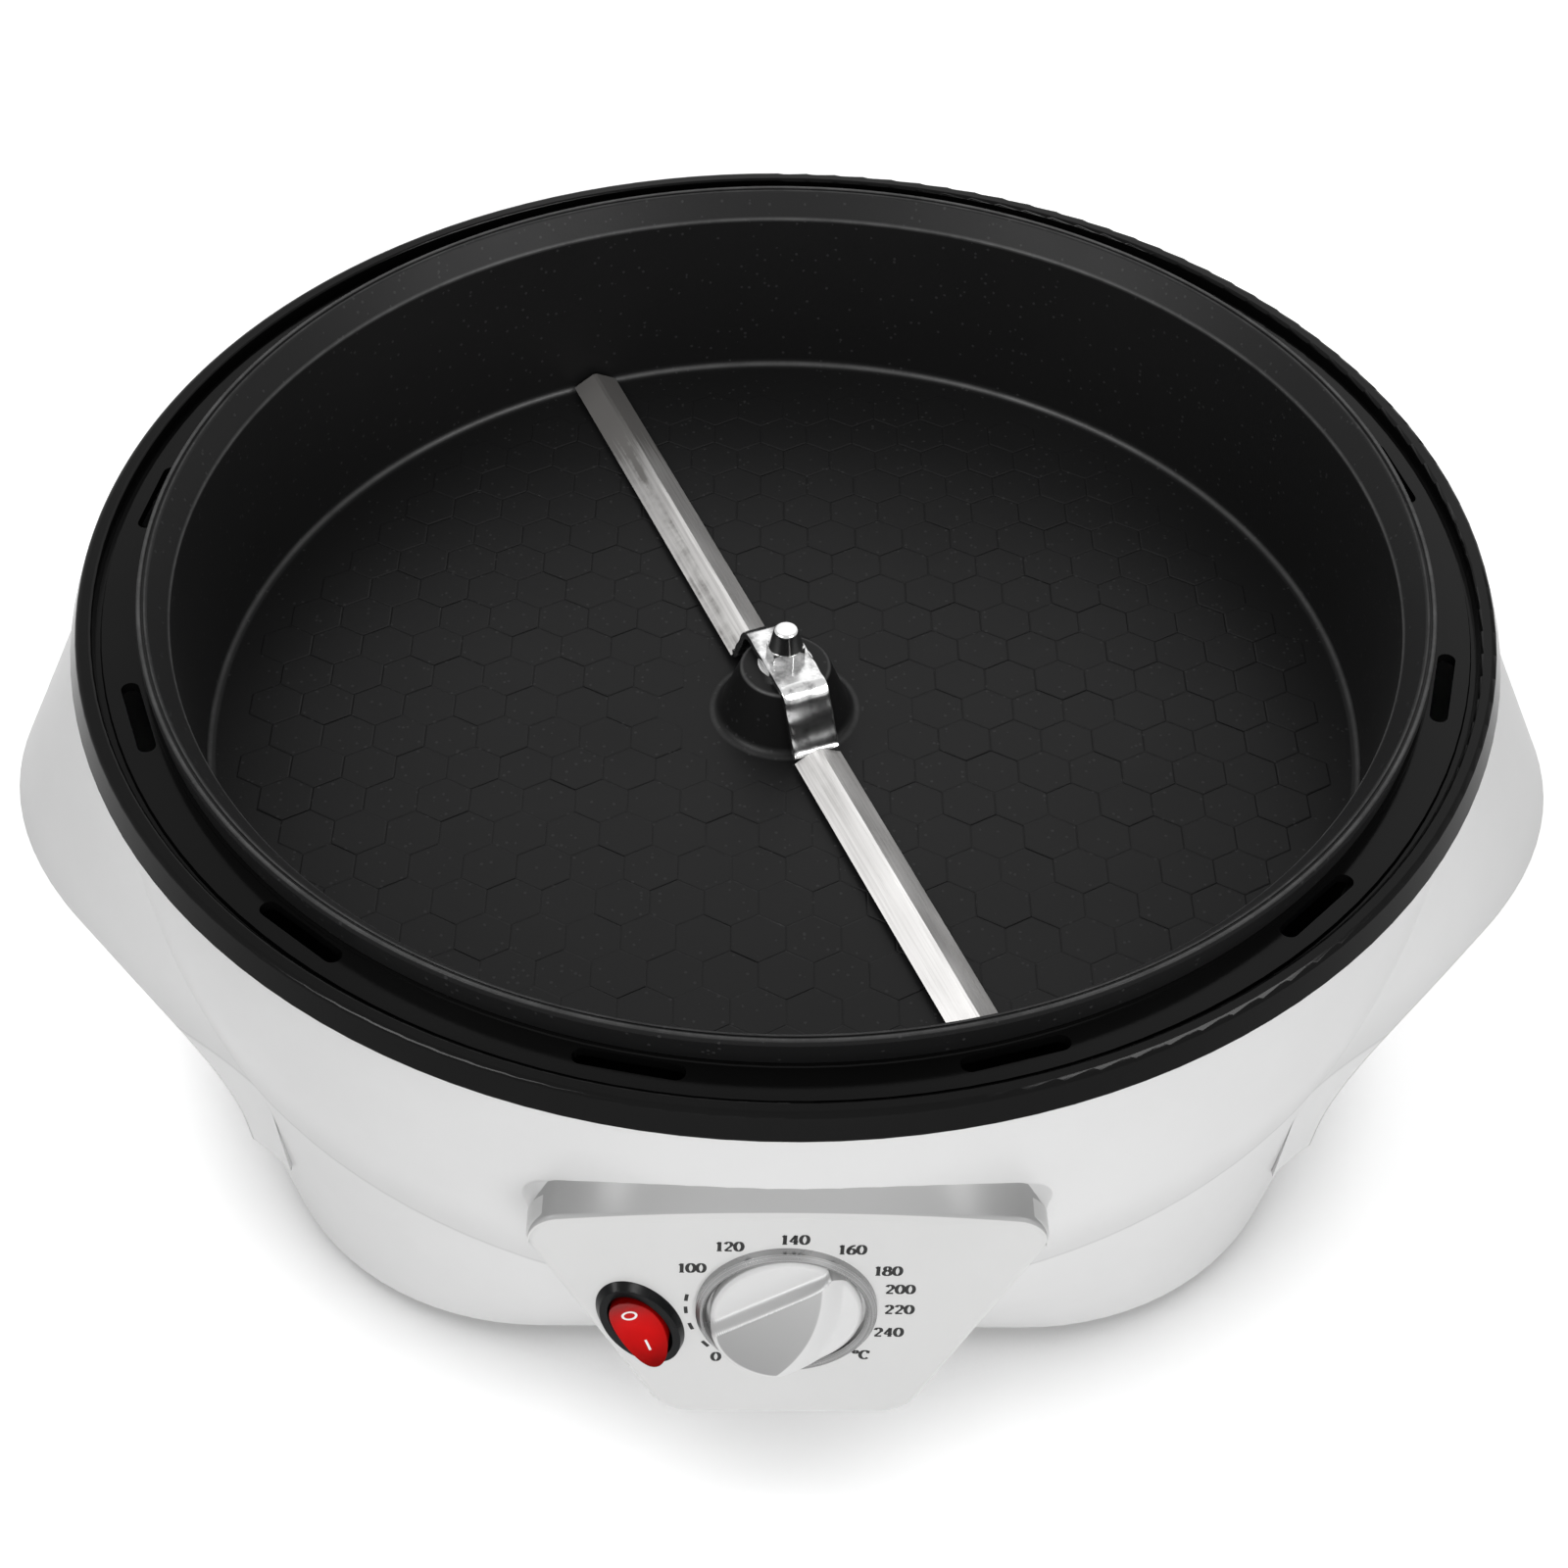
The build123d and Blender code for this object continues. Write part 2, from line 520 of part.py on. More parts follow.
# ---------------------------------------------------------------- trim ring
with BuildPart() as trim_ring:
    with BuildSketch(Plane.XZ):
        with BuildLine():
            Polyline(
                (RING_RADIUS + RING_SKIRT_FLARE, BODY_HEIGHT - RING_SKIRT_DROP),
                (RING_RADIUS, BODY_HEIGHT),
                (LIP_INNER, BODY_HEIGHT),
                (LIP_INNER - RING_BEVEL, SEAT_Z - RING_GROOVE_DEPTH),
                (GROOVE_INNER, SEAT_Z - RING_GROOVE_DEPTH),
                (GROOVE_INNER - RING_BEVEL, SEAT_Z),
                (LID_SEAT_INNER, SEAT_Z),
                (LID_SEAT_INNER - RING_BEVEL / 2, PAN_SEAT_Z),
                (RING_INNER, PAN_SEAT_Z),
                (RING_INNER, RING_UNDERSIDE),
                (RIM_RADIUS + FIT, RING_UNDERSIDE),
                (RIM_RADIUS + FIT, BODY_HEIGHT - RING_SKIRT_DROP),
                close=True,
            )
        make_face()
    revolve(axis=Axis.Z)
    lip_edges = trim_ring.edges().group_by(Axis.Z)[-1].sort_by(SortBy.RADIUS)
    fillet(lip_edges[0], RING_LIP_INNER)
    fillet(trim_ring.edges().group_by(Axis.Z)[-1].sort_by(SortBy.RADIUS)[-1], RING_LIP_OUTER)
    with BuildSketch(Plane.XY.offset(BODY_HEIGHT)):
        row = SLOT_PITCH * (SLOT_COUNT - 1)
        with PolarLocations(SLOT_RADIUS, SLOT_COUNT, SLOT_MIDDLE - row / 2, row, endpoint=True):
            SlotOverall(SLOT_LENGTH, SLOT_WIDTH, rotation=90)
    extrude(amount=-RING_DEPTH, mode=Mode.SUBTRACT)
    # posts that the ring's screws pull down on the housing's lugs
    for angle in LUG_ANGLES:
        with Locations(Rot(0, 0, angle) * Pos(LUG_REACH, 0, LUG_TOP)):
            Cylinder(POST_WAIST, LUG_DROP, align=STAND_ON)
            Cylinder(SMALL_SCREW + RUN_FIT, LUG_DROP - POST_ROOF, align=STAND_ON, mode=Mode.SUBTRACT)

# ---------------------------------------------------------------- roasting pan
with BuildPart() as roasting_pan:
    with BuildSketch(Plane.XZ) as pan_section:
        with BuildLine():
            Polyline(
                (PAN_RIM_RADIUS - RIM_LEAN, PAN_SEAT_Z),
                (PAN_RIM_RADIUS, CREST_Z - RIM_SHOULDER),
                (PAN_RIM_RADIUS - RIM_CROWN / 3, CREST_Z),
                (PAN_RIM_RADIUS - RIM_CROWN, CREST_Z),
                (PAN_RIM_RADIUS - RIM_CROWN, CREST_Z - RIM_GROOVE),
                (BEAD_RADIUS + RIM_BEAD, CREST_Z - RIM_GROOVE),
                (BEAD_RADIUS + RIM_BEAD, CREST_Z),
                (BEAD_RADIUS, CREST_Z - RIM_GROOVE),
                (PAN_MOUTH_RADIUS, BODY_HEIGHT - PAN_MOUTH_DROP),
                (PAN_FLOOR_RADIUS, PAN_FLOOR_Z),
                (HUB_BASE_RADIUS, PAN_FLOOR_Z),
                (HUB_TOP_RADIUS, HUB_TOP_Z),
                (BUSHING_RADIUS, HUB_TOP_Z),
                (BUSHING_RADIUS, PAN_UNDERSIDE - HUB_COLLAR),
                (BUSHING_RADIUS + HUB_COLLAR_WALL, PAN_UNDERSIDE - HUB_COLLAR),
                (BUSHING_RADIUS + HUB_COLLAR_WALL, PAN_UNDERSIDE),
                (PAN_FLOOR_RADIUS + PAN_WALL, PAN_UNDERSIDE),
                (PAN_MOUTH_RADIUS + PAN_WALL, PAN_SEAT_Z),
                close=True,
            )
        make_face()
        for corner, radius in (
            ((PAN_FLOOR_RADIUS, PAN_FLOOR_Z), PAN_CORNER),
            ((HUB_BASE_RADIUS, PAN_FLOOR_Z), HUB_FILLET),
            ((HUB_TOP_RADIUS, HUB_TOP_Z), HUB_EDGE),
        ):
            fillet(pan_section.vertices().sort_by_distance((*corner, 0))[0], radius)
    revolve(axis=Axis.Z)
    # bosses that carry the shield and the motor's bracket
    with BuildSketch(Plane.XY.offset(PAN_UNDERSIDE)):
        with Locations(*BOSS_SPOTS):
            Circle(BOSS_RADIUS)
    extrude(amount=-(PAN_UNDERSIDE - SHIELD_Z - SHIELD_GAUGE))
    with BuildSketch(Plane.XY.offset(SHIELD_Z)):
        with Locations(*BOSS_SPOTS):
            Circle(SMALL_SCREW + RUN_FIT)
    extrude(amount=SHIELD_GAUGE + BOSS_HOLE, mode=Mode.SUBTRACT)


with BuildPart() as shaft_bushing:
    with Locations((0, 0, PAN_UNDERSIDE - HUB_COLLAR)):
        Cylinder(BUSHING_RADIUS - RUN_FIT, HUB_TOP_Z - PAN_UNDERSIDE + HUB_COLLAR, align=STAND_ON)
        Cylinder(BUSHING_FLANGE, BUSHING_FLANGE_HEIGHT, align=HANG_FROM)
    Cylinder(SHAFT_RADIUS + RUN_FIT, 4 * BODY_HEIGHT, mode=Mode.SUBTRACT)

# ---------------------------------------------------------------- heater
ELEMENT_END = BACK + ELEMENT_GAP / 2
with BuildPart() as heating_element:
    end = Vector(ELEMENT_RADIUS, 0, ELEMENT_Z).rotate(Axis.Z, ELEMENT_END)
    ahead = Vector(0, -ELEMENT_BEND, 0).rotate(Axis.Z, ELEMENT_END)
    down = Vector(0, 0, -ELEMENT_BEND)
    low = end + ahead + down
    foot = low - (0, 0, ELEMENT_DROP)
    with BuildLine() as run:
        CenterArc((0, 0, ELEMENT_Z), ELEMENT_RADIUS, -BACK, ELEMENT_END - 3 * BACK)
        TangentArc(end, low, tangent=ahead)
        Line(low, foot)
    with BuildSketch(Plane(origin=(0, -ELEMENT_RADIUS, ELEMENT_Z), z_dir=(-1, 0, 0))):
        Circle(ELEMENT_TUBE)
    sweep(path=run.line)
    with Locations(foot):
        Cylinder(ELEMENT_PIN, ELEMENT_BEND, align=HANG_FROM)
    mirror(about=Plane.YZ)

with BuildPart() as element_clips:
    for angle in ELEMENT_CLIPS:
        with Locations(Rot(0, 0, angle) * Pos(ELEMENT_RADIUS, 0, PAN_UNDERSIDE) * Rot(0, 0, 90)):
            add(saddle(ELEMENT_TUBE))

with BuildPart() as heat_shield:
    with BuildSketch(Plane.XZ) as shield_section:
        with BuildLine():
            Polyline(
                (SHIELD_HOLE, SHIELD_Z),
                (SHIELD_RADIUS, SHIELD_Z),
                (SHIELD_RADIUS, SHIELD_Z + SHIELD_RIM),
                (SHIELD_RADIUS - SHIELD_GAUGE, SHIELD_Z + SHIELD_RIM),
                (SHIELD_RADIUS - SHIELD_GAUGE, SHIELD_Z + SHIELD_GAUGE),
                (SHIELD_HOLE, SHIELD_Z + SHIELD_GAUGE),
                close=True,
            )
        make_face()
        fillet(shield_section.vertices().sort_by_distance((SHIELD_RADIUS, SHIELD_Z, 0))[0], 3.0)
    revolve(axis=Axis.Z)
    with BuildSketch(Plane.XY.offset(SHIELD_Z)):
        with Locations(*BOSS_SPOTS):
            Circle(SMALL_SCREW + RUN_FIT)
        with Locations((foot.X, foot.Y), (-foot.X, foot.Y)):
            Circle(ELEMENT_TUBE + 2 * FIT)
    extrude(amount=SHIELD_GAUGE, mode=Mode.SUBTRACT)
    with Locations(Rot(0, 0, NOTCH_ANGLE) * Pos(SHIELD_RADIUS, 0, SHIELD_Z + SHIELD_RIM)):
        Box(NOTCH_WIDTH, NOTCH_WIDTH, 1.6 * SHIELD_RIM, mode=Mode.SUBTRACT)

with BuildPart() as shield_screws:
    with Locations(*[(x, y, SHIELD_Z - BRACKET_GAUGE) for x, y in BOSS_SPOTS]):
        Cylinder(SMALL_HEAD_RADIUS, SMALL_HEAD, align=HANG_FROM)
        Cylinder(SMALL_SCREW, BRACKET_GAUGE + BOSS_HOLE, align=STAND_ON)

# ---------------------------------------------------------------- drive
with BuildPart() as motor_bracket:
    leg, ear = BRACKET_LENGTH / 2, BRACKET_LENGTH / 2 + BRACKET_EAR
    right = [
        (leg, BRACKET_Z - BRACKET_GAUGE),
        (leg, SHIELD_Z - BRACKET_GAUGE),
        (ear, SHIELD_Z - BRACKET_GAUGE),
        (ear, SHIELD_Z),
        (leg - BRACKET_GAUGE, SHIELD_Z),
        (leg - BRACKET_GAUGE, BRACKET_Z),
    ]
    with BuildSketch(Plane.XZ):
        with BuildLine():
            Polyline(*right, *[(-x, z) for x, z in reversed(right)], close=True)
        make_face()
    extrude(amount=BRACKET_WIDTH / 2, both=True)
    with BuildSketch(Plane.XY):
        with Locations(*BOSS_SPOTS, (MOTOR_SCREW_REACH, 0), (-MOTOR_SCREW_REACH, 0)):
            Circle(SMALL_SCREW + RUN_FIT)
        Circle(MOTOR_BOSS_RADIUS + FIT)
    extrude(amount=BODY_HEIGHT, mode=Mode.SUBTRACT)

with BuildPart() as gear_motor:
    with Locations((0, 0, BRACKET_Z - BRACKET_GAUGE)):
        Cylinder(MOTOR_RADIUS, MOTOR_HEIGHT, align=HANG_FROM)
        Box(2 * MOTOR_EAR_REACH, MOTOR_EAR_WIDTH, MOTOR_EAR, align=HANG_FROM)
        Cylinder(MOTOR_BOSS_RADIUS, MOTOR_BOSS_HEIGHT + BRACKET_GAUGE, align=STAND_ON)
        with Locations((0, MOTOR_RADIUS, -MOTOR_HEIGHT / 2)):
            Box(TERMINAL_WIDTH, 2 * TAB_LENGTH, MOTOR_HEIGHT / 2)
    with Locations((0, 0, MOTOR_BOSS_TOP)):
        Cylinder(SHAFT_RADIUS + RUN_FIT, MOTOR_BORE, align=HANG_FROM, mode=Mode.SUBTRACT)
    with Locations((MOTOR_SCREW_REACH, 0), (-MOTOR_SCREW_REACH, 0)):
        Cylinder(SMALL_SCREW + RUN_FIT, 4 * BODY_HEIGHT, mode=Mode.SUBTRACT)

with BuildPart() as motor_screws:
    with Locations((MOTOR_SCREW_REACH, 0, BRACKET_Z), (-MOTOR_SCREW_REACH, 0, BRACKET_Z)):
        Cylinder(SMALL_HEAD_RADIUS, SMALL_HEAD, align=STAND_ON)
        Cylinder(SMALL_SCREW, BRACKET_GAUGE + 2 * MOTOR_EAR, align=HANG_FROM)

with BuildPart() as drive_shaft:
    with Locations((0, 0, SHAFT_FOOT)):
        Cylinder(SHAFT_RADIUS, WASHER_TOP - SHAFT_FOOT, align=STAND_ON)
    with Locations((0, 0, WASHER_TOP)):
        Cylinder(STUD_RADIUS, STRAP_GAUGE + NUT_HEIGHT + CAP_HEIGHT / 2, align=STAND_ON)

with BuildPart() as drive_coupling:
    with Locations((0, 0, MOTOR_BOSS_TOP + COUPLING_GAP)):
        Cylinder(COUPLING_RADIUS, COUPLING_HEIGHT, align=STAND_ON)
        Cylinder(SHAFT_RADIUS + RUN_FIT, COUPLING_HEIGHT, align=STAND_ON, mode=Mode.SUBTRACT)
    chamfer(drive_coupling.edges().filter_by(GeomType.CIRCLE).sort_by(SortBy.RADIUS)[-2:], 0.8)

# ---------------------------------------------------------------- stirrer
with BuildPart() as thrust_washer:
    with Locations((0, 0, HUB_TOP_Z + RUN_FIT)):
        Cylinder(WASHER_RADIUS, WASHER_THICKNESS, align=STAND_ON)
        Cylinder(SHAFT_RADIUS + RUN_FIT, WASHER_THICKNESS, align=STAND_ON, mode=Mode.SUBTRACT)

TONGUE_Z = ARM_LOW + STRAP_GAUGE / 2 + RUN_FIT
with BuildPart() as stirrer_bridge:
    with BuildSketch(stirrer_plane):
        with BuildLine() as spine:
            middle = WASHER_TOP + STRAP_GAUGE / 2
            FilletPolyline(
                (-STRAP_FOOT, TONGUE_Z),
                (-STRAP_KNEE, TONGUE_Z),
                (-STRAP_HALF_FLAT, middle),
                (STRAP_HALF_FLAT, middle),
                (STRAP_KNEE, TONGUE_Z),
                (STRAP_FOOT, TONGUE_Z),
                radius=STRAP_BEND,
            )
        trace(spine.line, line_width=STRAP_GAUGE)
    extrude(amount=STRAP_WIDTH / 2, both=True)
    # the feet narrow to tongues that slip under the arms
    with BuildSketch(Plane.XY):
        for side in (-1, 1):
            with Locations(Rot(0, 0, STIRRER_ANGLE) * Pos(side * (STRAP_KNEE + ARM_START_GAP), 0)):
                for edge in (-1, 1):
                    with Locations((side * STRAP_FOOT / 2, edge * (STRAP_TONGUE + STRAP_WIDTH) / 2)):
                        Rectangle(STRAP_FOOT, STRAP_WIDTH)
    extrude(amount=BODY_HEIGHT, mode=Mode.SUBTRACT)
    Cylinder(STUD_RADIUS + RUN_FIT, 4 * BODY_HEIGHT, mode=Mode.SUBTRACT)

with BuildPart() as stirrer_arm_rear:
    # folded strip: two slopes and a narrow crown, open below
    with BuildSketch(arm_end):
        with BuildLine():
            Polyline(
                (-ARM_WIDTH / 2, 0),
                (-ARM_CROWN / 2, ARM_RISE),
                (ARM_CROWN / 2, ARM_RISE),
                (ARM_WIDTH / 2, 0),
                (ARM_WIDTH / 2 - ARM_FLANK, 0),
                (ARM_CROWN / 2 - ARM_FOLD, ARM_RISE - ARM_GAUGE),
                (-ARM_CROWN / 2 + ARM_FOLD, ARM_RISE - ARM_GAUGE),
                (-ARM_WIDTH / 2 + ARM_FLANK, 0),
                close=True,
            )
        make_face()
    extrude(amount=ARM_TIP - ARM_ROOT)
    # relief under the tip, clear of the pan's rounded corner
    with BuildSketch(stirrer_plane):
        Polygon(
            (ARM_TIP - ARM_RELIEF, ARM_LOW),
            (ARM_TIP, ARM_LOW + ARM_RELIEF),
            (ARM_TIP, ARM_LOW),
            align=None,
        )
    extrude(amount=ARM_WIDTH, both=True, mode=Mode.SUBTRACT)

with BuildPart() as stirrer_arm_front:
    add(stirrer_arm_rear.part.rotate(Axis.Z, 180))

with BuildPart() as cap_nut:
    with BuildSketch(Plane.XY.offset(STRAP_TOP)):
        RegularPolygon(NUT_ACROSS_CORNERS / 2, 6, rotation=STIRRER_ANGLE)
    extrude(amount=NUT_HEIGHT)
    with Locations((0, 0, STRAP_TOP + NUT_HEIGHT)):
        Cone(CAP_LOW_RADIUS, CAP_TOP_RADIUS, CAP_HEIGHT, align=STAND_ON)
    fillet(cap_nut.faces().sort_by(Axis.Z)[-1].edges(), 0.8)
    with Locations((0, 0, STRAP_TOP)):
        Cylinder(
            STUD_RADIUS + RUN_FIT, NUT_HEIGHT + CAP_HEIGHT / 2 + FIT, align=STAND_ON, mode=Mode.SUBTRACT
        )

# ---------------------------------------------------------------- control panel
with BuildPart() as control_panel:
    with BuildSketch(face_plane.offset(-PANEL_DEPTH)):
        add(panel_outline())
    extrude(amount=PANEL_DEPTH)
    fillet(control_panel.faces().sort_by(Axis.Y)[0].edges(), PANEL_EDGE)
    with BuildSketch(face_plane.offset(-PANEL_DEPTH)):
        add(panel_outline(-PANEL_SKIN))
    extrude(amount=PANEL_DEPTH - PANEL_SKIN, mode=Mode.SUBTRACT)
    # snap tabs that enter the pod's mouth
    inset = POD_INSET + WALL + FIT + PANEL_TAB_GAUGE / 2
    with BuildSketch(face_plane.offset(-PANEL_DEPTH - PANEL_TAB_LENGTH)):
        for x, side in PANEL_TABS:
            edge = PANEL_ABOVE_KNOB if side > 0 else -PANEL_BELOW_KNOB
            with Locations((x, edge - side * inset)):
                Rectangle(PANEL_TAB_WIDTH, PANEL_TAB_GAUGE)
    extrude(amount=PANEL_TAB_LENGTH + PANEL_DEPTH - PANEL_SKIN)
    with BuildSketch(face_plane):
        Circle(BUSH_RADIUS + RUN_FIT)
    extrude(amount=-PANEL_DEPTH, mode=Mode.SUBTRACT)
    with BuildSketch(switch_plane):
        hole = 2 * (FIT - SWITCH_BODY_INSET)
        Ellipse((SWITCH_SHORT + hole) / 2, (SWITCH_LONG + hole) / 2)
    extrude(amount=-PANEL_DEPTH, mode=Mode.SUBTRACT)

with BuildPart() as knob_bezel:
    with BuildSketch(face_plane):
        Circle(BEZEL_RADIUS)
        Circle(BEZEL_INNER, mode=Mode.SUBTRACT)
    extrude(amount=BEZEL_HEIGHT)
    chamfer(knob_bezel.faces().sort_by(Axis.Y)[0].edges(), 0.9)

with BuildPart() as thermostat_body:
    with Locations(face_plane.location * Pos(0, 0, -PANEL_SKIN)):
        Cylinder(THERMOSTAT_RADIUS, THERMOSTAT_DEPTH, align=HANG_FROM)
        Cylinder(BUSH_RADIUS, PANEL_SKIN + BUSH_TOP, align=STAND_ON)
        with Locations((0, -TAB_WIDTH, -THERMOSTAT_DEPTH)):
            with GridLocations(THERMOSTAT_RADIUS, 0, 2, 1):
                Box(TAB_WIDTH, TAB_GAUGE, TAB_LENGTH, align=HANG_FROM)
    with Locations(face_plane.location * Pos(0, 0, BUSH_TOP)):
        Cylinder(
            SPINDLE_RADIUS + RUN_FIT, BUSH_TOP + SPINDLE_DEPTH + FIT, align=HANG_FROM, mode=Mode.SUBTRACT
        )

with BuildPart() as thermostat_nut:
    with BuildSketch(face_plane):
        RegularPolygon(THERMOSTAT_NUT / 2, 6, major_radius=False)
        Circle(BUSH_RADIUS + RUN_FIT, mode=Mode.SUBTRACT)
    extrude(amount=THERMOSTAT_NUT_HEIGHT)

with BuildPart() as thermostat_spindle:
    with Locations(face_plane.location * Pos(0, 0, -SPINDLE_DEPTH)):
        Cylinder(SPINDLE_RADIUS, SPINDLE_DEPTH + SPINDLE_TOP, align=STAND_ON)

with BuildPart() as knob_grip:
    # a block on the disc, cut by a steep side, a broad slope and a top that rises to the nose
    with BuildSketch(face_plane.offset(DISC_TOP - DISC_BEVEL)):
        Circle(KNOB_RADIUS)
    extrude(amount=2 * GRIP_NOSE_TOP)
    middle = (GRIP_NOSE_TOP + GRIP_TAIL_TOP) / 2
    rise = degrees(atan2(GRIP_NOSE_TOP - GRIP_TAIL_TOP, 2 * KNOB_RADIUS))
    for turn, reach, level, lean in (
        (GRIP_STEEP_ANGLE, GRIP_STEEP_REACH, GRIP_NOSE_TOP, 90 - GRIP_STEEP_DRAFT),
        (GRIP_BROAD_ANGLE, GRIP_BROAD_REACH, DISC_TOP, GRIP_BROAD_SLOPE),
        (GRIP_ANGLE, 0, middle, -rise),
    ):
        cut = Plane(face_plane.location * Rot(0, 0, turn) * Pos(reach, 0, level) * Rot(0, lean, 0))
        split(bisect_by=cut, keep=Keep.BOTTOM)
    top = knob_grip.faces().sort_by_distance(cut.origin)[0]
    foot = face_plane.location * Rot(0, 0, GRIP_BROAD_ANGLE) * Pos(GRIP_BROAD_REACH, 0, DISC_TOP)
    nose = face_plane.location * Rot(0, 0, GRIP_ANGLE) * Pos(KNOB_RADIUS, 0, GRIP_NOSE_TOP)
    sides = top.edges().filter_by(GeomType.LINE)
    fillet(sides.sort_by_distance(foot.position)[0], GRIP_BROAD_ROUND)
    fillet(knob_grip.edges().sort_by_distance(nose.position)[0], GRIP_NOSE_ROUND)

with BuildPart() as control_knob:
    with BuildSketch(face_plane.offset(KNOB_LIFT)):
        Circle(KNOB_RADIUS)
    extrude(amount=KNOB_DISC)
    chamfer(control_knob.faces().sort_by(Axis.Y)[0].edges(), DISC_BEVEL)
    add(knob_grip.part)
    with Locations(face_plane.location):
        Cylinder(KNOB_HOLLOW, BUSH_TOP + FIT, align=STAND_ON, mode=Mode.SUBTRACT)
        Cylinder(SPINDLE_RADIUS + RUN_FIT, SPINDLE_TOP + FIT, align=STAND_ON, mode=Mode.SUBTRACT)

with BuildPart() as capillary_bulb:
    back = face_plane.from_local_coords((0, 4, -PANEL_SKIN - THERMOSTAT_DEPTH - FIT))
    tail = Vector(-BULB_LENGTH / 2, -BULB_REACH, BULB_Z)
    with Locations(Pos(0, -BULB_REACH, BULB_Z) * Rot(0, 90, 0)):
        Cylinder(BULB_RADIUS, BULB_LENGTH)
    with BuildLine() as lead:
        swing = (-BULB_LENGTH / 3, 0, -1), (-BULB_LENGTH / 3, -BULB_LENGTH / 2, -2)
        Bezier(tail, tail + swing[0], tail + swing[1], back + (0, BULB_LENGTH / 4, 0), back)
    with BuildSketch(Plane(origin=tail, z_dir=(-1, 0, 0))):
        Circle(CAPILLARY_RADIUS)
    sweep(path=lead.line)

with BuildPart() as bulb_clip:
    with Locations((0, -BULB_REACH, PAN_UNDERSIDE)):
        with GridLocations(2 * BULB_LENGTH / 3, 0, 2, 1):
            add(saddle(BULB_RADIUS))
    with Locations((0, -FUSE_REACH, PAN_UNDERSIDE)):
        add(saddle(FUSE_RADIUS))

with BuildPart() as thermal_fuse:
    with Locations(Pos(0, -FUSE_REACH, PAN_UNDERSIDE - FIT - FUSE_RADIUS) * Rot(0, 90, 0)):
        Cylinder(FUSE_RADIUS, FUSE_LENGTH)
        Cylinder(CAPILLARY_RADIUS, 2 * FUSE_LENGTH)

# ---------------------------------------------------------------- rocker switch
PIN_SPOT = switch_plane.location * Pos(0, 0, -ROCKER_PIN_DEPTH)
with BuildPart() as switch_housing:
    with BuildSketch(switch_plane):
        Ellipse(SWITCH_SHORT / 2, SWITCH_LONG / 2)
    extrude(amount=SWITCH_BEZEL_HEIGHT, taper=SWITCH_BEZEL_TAPER)
    with BuildSketch(switch_plane):
        body = -2 * SWITCH_BODY_INSET
        Ellipse((SWITCH_SHORT + body) / 2, (SWITCH_LONG + body) / 2)
    extrude(amount=-SWITCH_BODY_DEPTH)
    with BuildSketch(switch_plane.offset(SWITCH_BEZEL_HEIGHT)):
        Ellipse(ROCKER_SHORT / 2 + ROCKER_SIDE_GAP, ROCKER_LONG / 2 + ROCKER_END_GAP)
    extrude(amount=-SWITCH_BEZEL_HEIGHT - SWITCH_POCKET_DEPTH, mode=Mode.SUBTRACT)
    with Locations(switch_plane.location * Pos(0, 0, -SWITCH_BODY_DEPTH)):
        with GridLocations(0, SWITCH_TAB_PITCH, 1, 3):
            Box(TAB_WIDTH, TAB_GAUGE, TAB_LENGTH, align=HANG_FROM)
    with Locations(PIN_SPOT * Rot(0, 90, 0)):
        Cylinder(ROCKER_PIN_RADIUS + RUN_FIT, SWITCH_SHORT + body + 1, mode=Mode.SUBTRACT)

with BuildPart() as switch_rocker:
    half = ROCKER_LONG / 2
    with BuildSketch(Plane.YZ.offset(-ROCKER_SHORT / 2)):
        with BuildLine():
            ThreePointArc((-half, ROCKER_HORN), (0, ROCKER_WAIST), (half, ROCKER_HORN))
            Polyline(
                (half, ROCKER_HORN),
                (half, 0),
                (half / 3, -ROCKER_KEEL),
                (-half / 3, -ROCKER_KEEL),
                (-half, 0),
                (-half, ROCKER_HORN),
            )
        make_face()
    extrude(amount=ROCKER_SHORT)
    with BuildSketch(Plane.XY.offset(-ROCKER_LONG)):
        Ellipse(ROCKER_SHORT / 2, ROCKER_LONG / 2)
    extrude(amount=2 * ROCKER_LONG, mode=Mode.INTERSECT)
    with Locations(Rot(0, 90, 0)):
        Cylinder(ROCKER_PIN_RADIUS + RUN_FIT, ROCKER_SHORT, mode=Mode.SUBTRACT)
switch_rocker.part = switch_rocker.part.moved(PIN_SPOT * Rot(-ROCKER_TILT, 0, 0))

with BuildPart() as rocker_pin:
    with Locations(PIN_SPOT * Rot(0, 90, 0)):
        Cylinder(ROCKER_PIN_RADIUS, SWITCH_SHORT - 2 * SWITCH_BODY_INSET - FIT)

# ---------------------------------------------------------------- base
with BuildPart() as base_plate:
    with BuildSketch(Plane.XY.offset(FOOT_HEIGHT)):
        RectangleRounded(2 * (HOLLOW_HALF - FIT), 2 * (HOLLOW_HALF - FIT), PLINTH_CORNER - WALL - FIT)
        with Locations(*FOOT_SPOTS):
            Circle(SCREW_RADIUS + RUN_FIT, mode=Mode.SUBTRACT)
        with GridLocations(1.5 * VENT_LENGTH, VENT_PITCH, 2, 5):
            SlotOverall(VENT_LENGTH, VENT_WIDTH, mode=Mode.SUBTRACT)
    extrude(amount=BASE_PLATE)

SCREW_SEAT = FOOT_HEIGHT - FOOT_WEB
with BuildPart() as rubber_feet:
    with Locations(*FOOT_SPOTS):
        Cone(FOOT_RADIUS - 1, FOOT_RADIUS, FOOT_HEIGHT, align=STAND_ON)
        Cylinder(SCREW_HEAD_RADIUS + FIT, SCREW_SEAT, align=STAND_ON, mode=Mode.SUBTRACT)
        Cylinder(SCREW_RADIUS + RUN_FIT, FOOT_HEIGHT, align=STAND_ON, mode=Mode.SUBTRACT)

